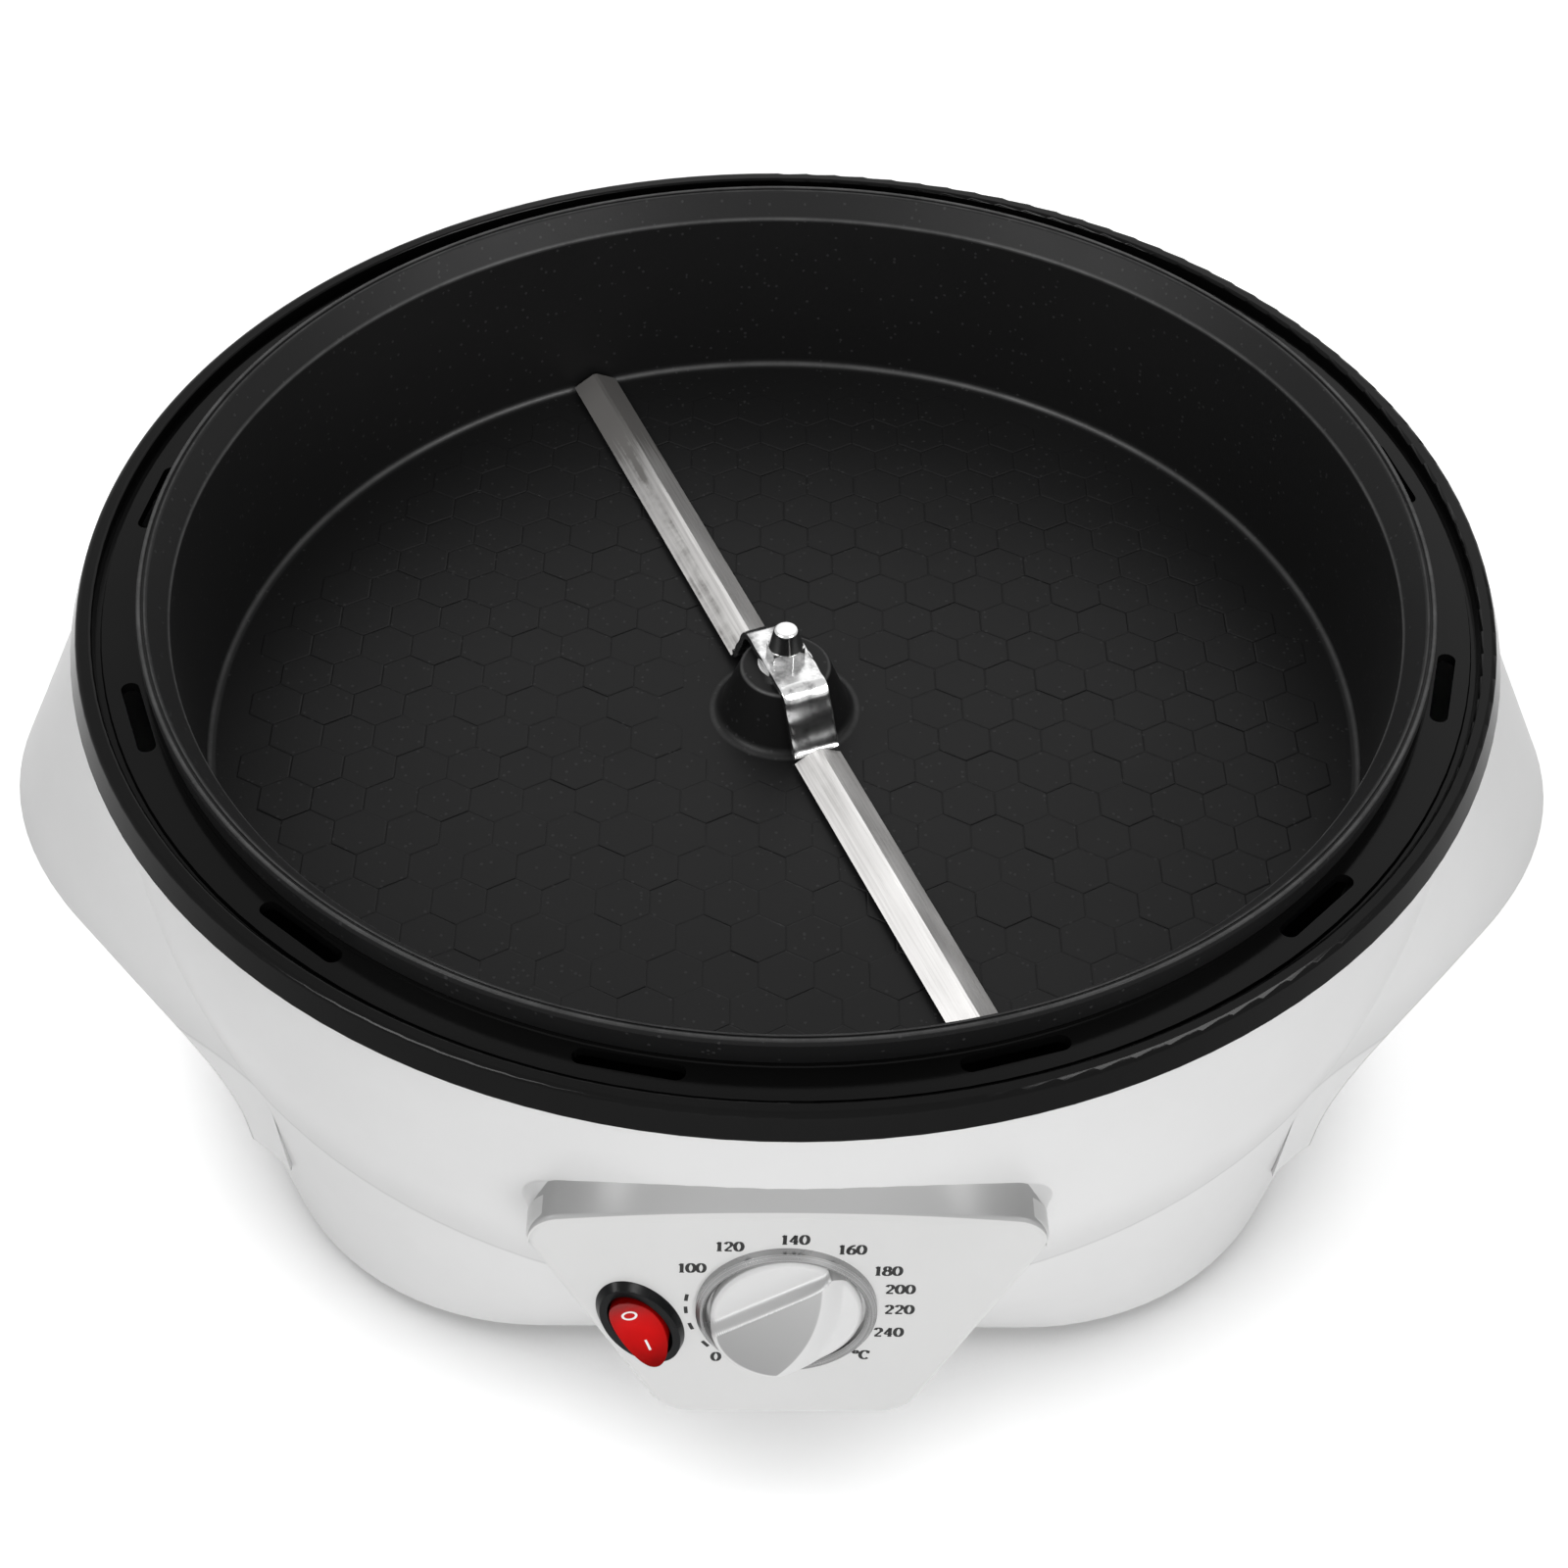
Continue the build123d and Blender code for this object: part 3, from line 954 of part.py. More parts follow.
with BuildPart() as base_screws:
    with Locations(*[(x, y, SCREW_SEAT) for x, y in FOOT_SPOTS]):
        Cylinder(SCREW_HEAD_RADIUS, SCREW_HEAD, align=HANG_FROM)
        Cylinder(SCREW_RADIUS, SCREW_LENGTH, align=STAND_ON)

with BuildPart() as ring_screws:
    for angle in LUG_ANGLES:
        with Locations(Rot(0, 0, angle) * Pos(LUG_REACH, 0, LUG_TOP - LUG_THICKNESS)):
            Cylinder(SMALL_HEAD_RADIUS, SMALL_HEAD, align=HANG_FROM)
            shank = LUG_THICKNESS + LUG_DROP - POST_ROOF - SCREW_END_GAP
            Cylinder(SMALL_SCREW, shank, align=STAND_ON)

with BuildPart() as terminal_block:
    with Locations((TERMINAL_X, TERMINAL_Y, PLATE_TOP)):
        Box(TERMINAL_LENGTH, TERMINAL_WIDTH, TERMINAL_HEIGHT, align=STAND_ON)
        with GridLocations(TERMINAL_LENGTH / 3, 0, 3, 1):
            Box(TERMINAL_LENGTH / 5, TERMINAL_WIDTH, 2.5 * TAB_WIDTH, mode=Mode.SUBTRACT)

with BuildPart() as cord_gland:
    with BuildSketch(Plane.XZ.offset(-PAD_REACH)):
        with Locations((0, GLAND_Z)):
            Circle(GLAND_FLANGE)
    extrude(amount=-GLAND_LIP)
    with BuildSketch(Plane.XZ.offset(-PAD_REACH)):
        with Locations((0, GLAND_Z)):
            Circle(GLAND_BODY)
    extrude(amount=GLAND_LENGTH)
    with BuildSketch(Plane.XZ.offset(-PAD_REACH - GLAND_LIP)):
        with Locations((0, GLAND_Z)):
            Circle(GLAND_BORE)
    extrude(amount=GLAND_LIP + GLAND_LENGTH, mode=Mode.SUBTRACT)

# ---------------------------------------------------------------- export
pieces = {
    "outer_housing": outer_housing,
    "base_plate": base_plate,
    "rubber_feet": rubber_feet,
    "base_screws": base_screws,
    "trim_ring": trim_ring,
    "ring_screws": ring_screws,
    "roasting_pan": roasting_pan,
    "shaft_bushing": shaft_bushing,
    "heating_element": heating_element,
    "element_clips": element_clips,
    "heat_shield": heat_shield,
    "shield_screws": shield_screws,
    "motor_bracket": motor_bracket,
    "gear_motor": gear_motor,
    "motor_screws": motor_screws,
    "drive_shaft": drive_shaft,
    "drive_coupling": drive_coupling,
    "thrust_washer": thrust_washer,
    "stirrer_bridge": stirrer_bridge,
    "stirrer_arm_front": stirrer_arm_front,
    "stirrer_arm_rear": stirrer_arm_rear,
    "cap_nut": cap_nut,
    "control_panel": control_panel,
    "knob_bezel": knob_bezel,
    "thermostat_body": thermostat_body,
    "thermostat_nut": thermostat_nut,
    "thermostat_spindle": thermostat_spindle,
    "control_knob": control_knob,
    "capillary_bulb": capillary_bulb,
    "bulb_clip": bulb_clip,
    "thermal_fuse": thermal_fuse,
    "switch_housing": switch_housing,
    "switch_rocker": switch_rocker,
    "rocker_pin": rocker_pin,
    "terminal_block": terminal_block,
    "cord_gland": cord_gland,
}
os.makedirs("parts", exist_ok=True)
for name, piece in pieces.items():
    piece.part.label = name
    export_step(piece.part, f"parts/{name}.step")
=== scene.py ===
"""Looks of the countertop coffee roaster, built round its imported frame.

Lengths in the classes are millimetres and angles are degrees; meshes are made in metres. +Z is up, -Y is
the front, and the origin is on the table on the stirrer's axis, as in the frame.
"""

import logging
from dataclasses import dataclass, field
from enum import Enum
from typing import Callable, Iterable, NamedTuple, Sequence

import bpy
import numpy as np
from mathutils import Matrix, Vector


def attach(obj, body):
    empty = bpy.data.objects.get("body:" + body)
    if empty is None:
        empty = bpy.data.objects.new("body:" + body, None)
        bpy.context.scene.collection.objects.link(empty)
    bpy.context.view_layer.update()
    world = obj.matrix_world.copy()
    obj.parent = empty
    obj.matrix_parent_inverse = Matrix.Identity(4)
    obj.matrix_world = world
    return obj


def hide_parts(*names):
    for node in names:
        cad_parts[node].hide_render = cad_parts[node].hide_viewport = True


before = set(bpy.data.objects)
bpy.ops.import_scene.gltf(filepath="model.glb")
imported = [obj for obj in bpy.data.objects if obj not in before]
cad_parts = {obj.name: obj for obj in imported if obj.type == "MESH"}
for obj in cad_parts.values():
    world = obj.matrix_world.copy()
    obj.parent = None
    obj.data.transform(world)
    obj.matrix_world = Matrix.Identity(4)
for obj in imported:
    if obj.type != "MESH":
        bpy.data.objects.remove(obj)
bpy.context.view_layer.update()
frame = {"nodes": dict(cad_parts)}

MM = 0.001
Colour = tuple[float, float, float]
Point = tuple[float, float, float]
Socket = bpy.types.NodeSocket
Term = Socket | float | Sequence[float]
Terms = dict[str | int, Term]
Sockets = dict[str, Socket]
log = logging.getLogger("roaster")


# ---------------------------------------------------------------- places and grids
@dataclass(frozen=True)
class Seat:
    """A place with its own axes: x across, y up the surface, z out of it."""

    origin: Point
    across: Point
    up: Point
    out: Point

    def place(self, points: np.ndarray) -> np.ndarray:
        """Turn local millimetre points into object points: origin plus each coordinate times its axis.

        Args:
            points: array whose last axis is (across, up, out) in millimetres.

        Returns:
            An array of the same shape, in millimetres of the object.
        """
        axes = np.array([self.across, self.up, self.out])
        return np.asarray(self.origin) + points @ axes

    def turned(self, x: float, y: float, z: float, angle: float, tilt: float = 0.0) -> "Seat":
        """A seat moved by (x, y, z), turned about its own out axis, then tilted about its new across axis.

        Args:
            x: move across.
            y: move up.
            z: move out.
            angle: turn about the out axis.
            tilt: turn about the across axis afterwards.

        Returns:
            The new seat.
        """
        c, s = np.cos(np.radians(angle)), np.sin(np.radians(angle))
        across, up, out = (np.array(a) for a in (self.across, self.up, self.out))
        origin = self.place(np.array([x, y, z]))
        across, up = c * across + s * up, c * up - s * across
        c, s = np.cos(np.radians(tilt)), np.sin(np.radians(tilt))
        up, out = c * up + s * out, c * out - s * up
        return Seat(tuple(origin), tuple(across), tuple(up), tuple(out))


TILT = np.radians(4.5)
REST = np.radians(112.2)
PANEL = Seat((0, -173.1, 77.3), (1, 0, 0), (0, np.sin(TILT), np.cos(TILT)), (0, -np.cos(TILT), np.sin(TILT)))
UPRIGHT = Seat((0, 0, 0), (1, 0, 0), (0, 1, 0), (0, 0, 1))
ROCKER = PANEL.turned(-31.5, -4.6, 0, 25).turned(0, 0, -0.6, 0, -8)
STIRRER = Seat((0, 0, 0), (np.cos(REST), np.sin(REST), 0), (0, 0, 1), (np.sin(REST), -np.cos(REST), 0))


@dataclass
class Grid:
    """Points on a grid of rows and columns, with what closes it.

    A ring of columns is one turn of a profile; caps are fans to the middle of the first and last row.
    """

    points: np.ndarray
    ring: bool = True
    loop: bool = False
    caps: tuple[bool, bool] = (False, False)

    def faces(self, start: int) -> tuple[np.ndarray, list[list[int]], np.ndarray]:
        """Work out the quads and caps by index arithmetic on whole arrays.

        Args:
            start: number of the first vertex.

        Returns:
            The vertices, the quads and the cap triangles.
        """
        rows, columns = self.points.shape[:2]
        index = np.arange(rows * columns).reshape(rows, columns) + start
        low, high = (index, np.roll(index, -1, 0)) if self.loop else (index[:-1], index[1:])
        if self.ring:
            quads = np.stack([low, np.roll(low, -1, 1), np.roll(high, -1, 1), high], -1)
        else:
            quads = np.stack([low[:, :-1], low[:, 1:], high[:, 1:], high[:, :-1]], -1)
        vertices = self.points.reshape(-1, 3)
        fans = []
        for row, wanted, flip in ((0, self.caps[0], True), (-1, self.caps[1], False)):
            if wanted:
                middle = start + len(vertices)
                vertices = np.vstack([vertices, self.points[row].mean(0)])
                edge, after = index[row], np.roll(index[row], -1)
                fan = np.stack([after, edge] if flip else [edge, after], -1)
                fans.append(np.hstack([fan, np.full((columns, 1), middle)]))
        return vertices, quads.reshape(-1, 4), np.vstack(fans) if fans else np.zeros((0, 3), int)


def make_piece(
    name: str, grids: Iterable[Grid], finish: bpy.types.Material, crease: float = 40.0
) -> bpy.types.Object:
    """Put grids of millimetre points into one mesh object that sits at the origin.

    Args:
        name: the piece's name.
        grids: the grids that the mesh joins.
        finish: its material.
        crease: edges sharper than this stay sharp.

    Returns:
        The new object, linked to the scene.
    """
    vertices, faces, count = [], [], 0
    for grid in grids:
        points, quads, fans = grid.faces(count)
        vertices.append(points)
        faces += quads.tolist() + fans.tolist()
        count += len(points)
    mesh = bpy.data.meshes.new(name)
    mesh.from_pydata((np.vstack(vertices) * MM).tolist(), [], faces)
    mesh.validate()
    mesh.shade_smooth()
    mesh.set_sharp_from_angle(angle=float(np.radians(crease)))
    mesh.materials.append(finish)
    piece = bpy.data.objects.new(name, mesh)
    bpy.context.scene.collection.objects.link(piece)
    return piece


def full_turn(steps: int) -> np.ndarray:
    """Angles evenly spaced once round, in radians."""
    return np.linspace(0, 2 * np.pi, steps, endpoint=False)


def revolve(profile: np.ndarray, seat: Seat, steps: int) -> Grid:
    """Turn a closed profile about a seat's out axis: x = r cos a, y = r sin a, z = height.

    Args:
        profile: (radius, height) points, running clockwise where radius is to the right and height is up.
        seat: where the axis stands.
        steps: points round the turn.

    Returns:
        A grid that is closed both ways.
    """
    turn = full_turn(steps)[:, None]
    radius, height = profile.T
    points = np.stack([radius * np.cos(turn), radius * np.sin(turn), height + 0 * turn], -1)
    return Grid(seat.place(points), ring=True, loop=True)


def rounded(corners: np.ndarray, steps: int, lead: float = 0.3) -> np.ndarray:
    """Round the corners of closed outlines: arcs that touch both sides, and one point before and after each.

    Args:
        corners: (..., n, 3) array of each corner's place across, place up and radius.
        steps: points on each arc.
        lead: how far the extra points stand from the arcs.

    Returns:
        A (..., n * (steps + 2), 2) array of points.
    """
    spots, radius = corners[..., :2], corners[..., 2:]
    back, ahead = np.roll(spots, 1, -2) - spots, np.roll(spots, -1, -2) - spots
    back /= np.linalg.norm(back, axis=-1, keepdims=True)
    ahead /= np.linalg.norm(ahead, axis=-1, keepdims=True)
    half = np.arccos(np.clip((back * ahead).sum(-1, keepdims=True), -1, 1)) / 2
    reach = radius / np.tan(half)
    middle = (back + ahead) * reach / (2 * np.cos(half) ** 2)
    turn = np.pi - 2 * half
    share = np.linspace(0, 1, steps)
    start, end = (back * reach - middle)[..., None, :], (ahead * reach - middle)[..., None, :]
    turn, share = turn[..., None, :], share[:, None]
    arc = (np.sin((1 - share) * turn) * start + np.sin(share * turn) * end) / np.sin(turn)
    arc += (spots + middle)[..., None, :]
    before = (spots + back * (reach + lead))[..., None, :]
    after = (spots + ahead * (reach + lead))[..., None, :]
    points = np.concatenate([before, arc, after], -2)
    return points.reshape(*points.shape[:-3], -1, 2)


def normals(path: np.ndarray, closed: bool) -> np.ndarray:
    """Unit normals to the left of a path: the direction between neighbours, given a quarter turn.

    Args:
        path: (n, 2) points.
        closed: whether the path runs back into its start.

    Returns:
        (n, 2) normals.
    """
    ahead = np.roll(path, -1, 0) - np.roll(path, 1, 0) if closed else np.gradient(path, axis=0)
    ahead /= np.linalg.norm(ahead, axis=1, keepdims=True)
    return np.stack([-ahead[:, 1], ahead[:, 0]], -1)


def ribbon(path: np.ndarray, half: np.ndarray, low: float, high: float, closed: bool) -> Grid:
    """A flat ribbon along a path: each point moves by its half width along the path's normal.

    Args:
        path: (n, 2) points of the middle line.
        half: (n,) half widths.
        low: underside, out of the surface.
        high: top face.
        closed: whether the path runs back into its start.

    Returns:
        A grid of four-cornered sections.
    """
    side = normals(path, closed) * half[:, None]
    left, right = path + side, path - side
    section = np.stack([left, left, right, right], 1)
    levels = np.broadcast_to(np.array([low, high, high, low]), section.shape[:2])
    return Grid(np.dstack([section, levels]), ring=True, loop=closed, caps=(not closed, not closed))


# ---------------------------------------------------------------- shader nodes
def scaled(parts: Sequence[float], factor: float) -> Point:
    """Each part of a colour or a place times a factor."""
    return tuple(part * factor for part in parts)


def grey(level: float) -> Colour:
    """An even grey."""
    return level, level, level


class Bench:
    """Places nodes in one tree and joins them."""

    def __init__(self, tree: bpy.types.NodeTree) -> None:
        """Keep the tree."""
        self.tree = tree

    def feed(self, socket: Socket, term: Term) -> None:
        """Link a socket to an input, or set the input's value.

        Args:
            socket: the input.
            term: a socket or a value; a colour's value may come without its alpha.
        """
        if isinstance(term, bpy.types.NodeSocket):
            self.tree.links.new(term, socket)
        elif hasattr(socket.default_value, "__len__"):
            socket.default_value = (*term, 1.0)[: len(socket.default_value)]
        else:
            socket.default_value = term

    def node(self, kind: str, inputs: Terms | None = None, **settings: object) -> bpy.types.Node:
        """Add one node.

        Args:
            kind: the node's type without its ShaderNode prefix.
            inputs: values or sockets by input name or number.
            settings: attributes of the node.

        Returns:
            The node.
        """
        made = self.tree.nodes.new("ShaderNode" + kind)
        for key, value in settings.items():
            setattr(made, key, value)
        for key, term in (inputs or {}).items():
            self.feed(made.inputs[key], term)
        return made

    def math(self, step: str, *terms: Term, clamp: bool = False) -> Socket:
        """One Math node; returns its output."""
        return self.node("Math", dict(enumerate(terms)), operation=step, use_clamp=clamp).outputs[0]

    def vector(self, step: str, *terms: Term, out: str = "Vector") -> Socket:
        """One Vector Math node; returns the named output."""
        return self.node("VectorMath", dict(enumerate(terms)), operation=step).outputs[out]

    def join(self, x: Term, y: Term = 0.0, z: Term = 0.0) -> Socket:
        """A vector made of its three parts."""
        return self.node("CombineXYZ", {0: x, 1: y, 2: z}).outputs[0]

    def along(self, place: Term, axis: Point) -> Socket:
        """How far a place or a direction reaches along an axis."""
        return self.vector("DOT_PRODUCT", place, axis, out="Value")

    def level(self, place: Term) -> Socket:
        """The upward part of a place or a direction."""
        return self.node("SeparateXYZ", {0: place}).outputs[2]

    def radius(self, place: Term) -> Socket:
        """How far a place stands from the upright axis."""
        return self.vector("LENGTH", self.vector("MULTIPLY", place, (1, 1, 0)), out="Value")

    def blend(self, share: Term, first: Term, second: Term) -> Socket:
        """A colour mix from first to second."""
        return self.node("Mix", {0: share, 6: first, 7: second}, data_type="RGBA").outputs[2]

    def noise(self, place: Term, scale: Term, detail: float = 3.0, rough: float = 0.5) -> Socket:
        """A noise texture's value."""
        terms = {"Vector": place, "Scale": scale, "Detail": detail, "Roughness": rough}
        return self.node("TexNoise", terms).outputs[0]

    def step(self, term: Term, low: float, high: float, start: float = 0.0, end: float = 1.0) -> Socket:
        """A smooth ramp of a value from one range to another."""
        terms = {"Value": term, "From Min": low, "From Max": high, "To Min": start, "To Max": end}
        return self.node("MapRange", terms, interpolation_type="SMOOTHSTEP").outputs[0]


class Effect(Enum):
    """Shared surface effects: the name of each one's node group, and what its value inputs start at."""

    GRAIN = ("moulding_grain", {"Scale": 900.0, "Broad": 14.0})
    SPECKS = ("coating_specks", {"Scale": 500.0, "Share": 0.06, "Size": 0.3})
    STREAKS = ("drawn_streaks", {"Scale": 300.0, "Stretch": 0.03})
    TURNED = ("turned_lines", {"Scale": 2500.0})
    WORN_RING = ("worn_ring", {"Radius": 0.145, "Level": 0.09, "Reach": 0.001, "Break": 0.35})
    DUST = ("settled_dust", {"Amount": 0.2})


def grain(bench: Bench, given: Sockets) -> Sockets:
    """Fine moulding texture: noise at the scale plus a third of noise at four times the scale.

    Args:
        bench: the group's bench.
        given: the group's inputs.

    Returns:
        The texture's height, and a slow mottle.
    """
    fine = bench.noise(given["Place"], given["Scale"], 2.0)
    finer = bench.noise(given["Place"], bench.math("MULTIPLY", given["Scale"], 4.0), 1.0)
    height = bench.math("MULTIPLY_ADD", finer, 0.33, fine)
    return {"Height": height, "Mottle": bench.noise(given["Place"], given["Broad"], 4.0, 0.6)}


def specks(bench: Bench, given: Sockets) -> Sockets:
    """Scattered specks: the share of cells whose random value is high, shown near the cell's middle.

    Args:
        bench: the group's bench.
        given: the group's inputs.

    Returns:
        Where the specks are.
    """
    cell = bench.node("TexVoronoi", {"Vector": given["Place"], "Scale": given["Scale"]}, feature="F1").outputs
    lucky = bench.node("SeparateColor", {0: cell["Color"]}).outputs[0]
    chosen = bench.math("GREATER_THAN", lucky, bench.math("SUBTRACT", 1.0, given["Share"]))
    return {"Mask": bench.math("MULTIPLY", chosen, bench.math("LESS_THAN", cell["Distance"], given["Size"]))}


def streaks(bench: Bench, given: Sockets) -> Sockets:
    """Drawn streaks: noise of a place that is stretched along one axis, at two widths.

    Args:
        bench: the group's bench.
        given: the group's inputs.

    Returns:
        The fine streaks and the broad ones.
    """
    place = bench.vector("MULTIPLY", given["Place"], bench.join(given["Stretch"], 1.0, 1.0))
    broad = bench.noise(place, bench.math("MULTIPLY", given["Scale"], 0.3), 3.0, 0.55)
    return {"Fine": bench.noise(place, given["Scale"], 4.0, 0.7), "Broad": broad}


def turned_lines(bench: Bench, given: Sockets) -> Sockets:
    """Turned lines: noise read along the distance from an axis, the same all the way round.

    Args:
        bench: the group's bench.
        given: the group's inputs.

    Returns:
        The lines' height.
    """
    line = bench.join(bench.radius(given["Place"]))
    return {"Height": bench.noise(line, given["Scale"], 3.0, 0.7)}


def worn_ring(bench: Bench, given: Sockets) -> Sockets:
    """Bright line round an axis, part wear and part painted highlight: falls off with the distance in radius
    and level, broken up by noise.

    Args:
        bench: the group's bench.
        given: the group's inputs.

    Returns:
        How bright each place is.
    """
    aside = bench.math("SUBTRACT", bench.radius(given["Place"]), given["Radius"])
    above = bench.math("SUBTRACT", bench.level(given["Place"]), given["Level"])
    away = bench.vector("LENGTH", bench.join(aside, above), out="Value")
    near = bench.math("SUBTRACT", 1.0, bench.math("DIVIDE", away, given["Reach"]), clamp=True)
    patch = bench.math("MULTIPLY_ADD", bench.noise(given["Place"], 90.0, 5.0, 0.7), 3.2, -1.1, clamp=True)
    lost = bench.math("MULTIPLY", given["Break"], bench.math("SUBTRACT", 1.0, patch))
    return {"Mask": bench.math("MULTIPLY", near, bench.math("SUBTRACT", 1.0, lost))}


def dust(bench: Bench, given: Sockets) -> Sockets:
    """Dust on level places: the upward part of the normal, squared, times patchy noise.

    Args:
        bench: the group's bench.
        given: the group's inputs.

    Returns:
        How much dust lies at each place.
    """
    normal = bench.node("NewGeometry").outputs["Normal"]
    upward = bench.math("MAXIMUM", bench.along(normal, (0, 0, 1)), 0.0)
    patch = bench.math("MULTIPLY", bench.noise(given["Place"], 25.0, 6.0, 0.65), given["Amount"])
    return {"Mask": bench.math("MULTIPLY", bench.math("POWER", upward, 2.0), patch)}


RECIPES: dict[Effect, Callable[[Bench, Sockets], Sockets]] = {
    Effect.GRAIN: grain,
    Effect.SPECKS: specks,
    Effect.STREAKS: streaks,
    Effect.TURNED: turned_lines,
    Effect.WORN_RING: worn_ring,
    Effect.DUST: dust,
}


@dataclass
class Effects:
    """Makes the shared groups on first use and places them in materials."""

    made: dict[Effect, bpy.types.NodeTree] = field(default_factory=dict)

    def build(self, effect: Effect) -> bpy.types.NodeTree:
        """Make an effect's group: a place and its values go in, and its results come out as values.

        Args:
            effect: which effect.

        Returns:
            The group.
        """
        name, values = effect.value
        tree = bpy.data.node_groups.new(name, "ShaderNodeTree")
        tree.interface.new_socket("Place", in_out="INPUT", socket_type="NodeSocketVector")
        for key, value in values.items():
            socket = tree.interface.new_socket(key, in_out="INPUT", socket_type="NodeSocketFloat")
            socket.default_value = value
        start, bench = tree.nodes.new("NodeGroupInput"), Bench(tree)
        results = RECIPES[effect](bench, {key: start.outputs[key] for key in ("Place", *values)})
        for key in results:
            tree.interface.new_socket(key, in_out="OUTPUT", socket_type="NodeSocketFloat")
        end = tree.nodes.new("NodeGroupOutput")
        for key, result in results.items():
            bench.feed(end.inputs[key], result)
        return tree

    def place(self, bench: Bench, effect: Effect, place: Socket, **values: float) -> Sockets:
        """Put an effect's group in a material.

        Args:
            bench: the material's bench.
            effect: which effect.
            place: the place that it reads.
            values: values by input name.

        Returns:
            The group's outputs.
        """
        if effect not in self.made:
            self.made[effect] = self.build(effect)
        return bench.node("Group", {"Place": place, **values}, node_tree=self.made[effect]).outputs


EFFECTS = Effects()
MOTTLED = (0.35, 0.7)
# name of the mesh values that hold the knob's painted shade
GRIP_SHADE = "grip_painted_shade"


class Surface(NamedTuple):
    """What a finish gives its shader: a colour, a roughness, and a height with its full depth in metres."""

    colour: Term
    rough: Term
    height: Socket
    depth: float


@dataclass(frozen=True)
class Finish:
    """What every finish has: a name, a colour, how it shines, and how far its edges are softened."""

    name: str
    colour: Colour
    rough: float = 0.5
    metallic: float = 0.0
    specular: float = 0.5
    edge: float = 0.0

    def make(self) -> bpy.types.Material:
        """Build the material: its constants, then the kind's own surface, bumped over softened edges.

        Returns:
            The material.
        """
        made = bpy.data.materials.new(self.name)
        made.use_nodes = True
        made.diffuse_color = (*self.colour, 1)
        bench = Bench(made.node_tree)
        surface = self.surface(bench, bench.node("TexCoord").outputs["Object"])
        bump = {"Height": surface.height, "Distance": surface.depth, "Strength": 1.0}
        if self.edge:
            bump["Normal"] = bench.node("Bevel", {"Radius": self.edge * MM}, samples=4).outputs[0]
        shader = made.node_tree.nodes["Principled BSDF"]
        for key, term in (
            ("Base Color", surface.colour),
            ("Roughness", surface.rough),
            ("Metallic", self.metallic),
            ("Specular IOR Level", self.specular),
            ("Normal", bench.node("Bump", bump).outputs["Normal"]),
        ):
            bench.feed(shader.inputs[key], term)
        return made

    def surface(self, bench: Bench, place: Socket) -> Surface:
        """What varies over the surface, from its object coordinates; each kind of finish has its own."""
        raise NotImplementedError(self.name)

    def spread(self, bench: Bench, share: Socket, span: float) -> Socket:
        """A roughness that a share moves over a span about the finish's own."""
        return bench.math("MULTIPLY_ADD", share, span, self.rough - span / 2)


@dataclass(frozen=True)
class MouldedPlastic(Finish):
    """Injection-moulded plastic with fine grain, slow mottling and a little dust."""

    grain: float = 0.00001
    grain_scale: float = 1400.0
    mottle: float = 0.03
    dust: float = 0.05
    dusted: Colour = (0.45, 0.44, 0.42)
    rough_span: float = 0.14

    def surface(self, bench: Bench, place: Socket) -> Surface:
        """The colour is mottled, then dusted, then tinted by the kind of plastic.

        Args:
            bench: the material's bench.
            place: its object coordinates.

        Returns:
            The surface.
        """
        moulded = EFFECTS.place(bench, Effect.GRAIN, place, Scale=self.grain_scale)
        settled = EFFECTS.place(bench, Effect.DUST, place, Amount=self.dust)["Mask"]
        share = bench.step(moulded["Mottle"], *MOTTLED)
        base = bench.blend(share, self.colour, scaled(self.colour, 1 - self.mottle))
        base = self.tint(bench, place, bench.blend(settled, base, self.dusted))
        rough = self.spread(bench, moulded["Mottle"], self.rough_span)
        return Surface(base, rough, moulded["Height"], self.grain)

    def tint(self, bench: Bench, place: Socket, base: Socket) -> Socket:
        """The colour as it is; other kinds of plastic tint it."""
        return base


@dataclass(frozen=True)
class TopShadedPlastic(MouldedPlastic):
    """Moulded plastic with painted shade: greyer where it faces up."""

    top_shade: Colour = grey(0.39)
    top_shade_range: tuple[float, float] = (0.1, 0.35)

    def tint(self, bench: Bench, place: Socket, base: Socket) -> Socket:
        """Blend in the painted shade's grey by the upward part of the normal."""
        upward = bench.level(bench.node("NewGeometry").outputs["Normal"])
        return bench.blend(bench.step(upward, *self.top_shade_range), base, self.top_shade)


@dataclass(frozen=True)
class BowlPlastic(MouldedPlastic):
    """The housing's plastic, with painted shade in the fold between bowl and plinth."""

    fold_level: float = 64.0
    fold_line: float = 1.3
    line_shade: float = 0.4
    fold_fade: float = 22.0
    fold_shade: float = 0.2
    # grey of the painted shade in the crease under the bowl
    folded: Colour = grey(0.3)

    def tint(self, bench: Bench, place: Socket, base: Socket) -> Socket:
        """Blend in painted shade: a fine dark line at the fold's level and a fainter shade that fades out
        above it.

        Args:
            bench: the material's bench.
            place: its object coordinates.
            base: the colour so far.

        Returns:
            The colour with the fold's shade.
        """
        level = bench.level(place)
        gap = bench.math("ABSOLUTE", bench.math("SUBTRACT", level, self.fold_level * MM))
        above = bench.math("GREATER_THAN", level, self.fold_level * MM)
        shade = bench.math("MULTIPLY", bench.step(gap, 0.0, self.fold_fade * MM, self.fold_shade, 0.0), above)
        # painted shade: the darker of the fine line and the fainter shade above the fold
        line = bench.math("MAXIMUM", bench.step(gap, 0.0, self.fold_line * MM, self.line_shade, 0.0), shade)
        return bench.blend(line, base, self.folded)


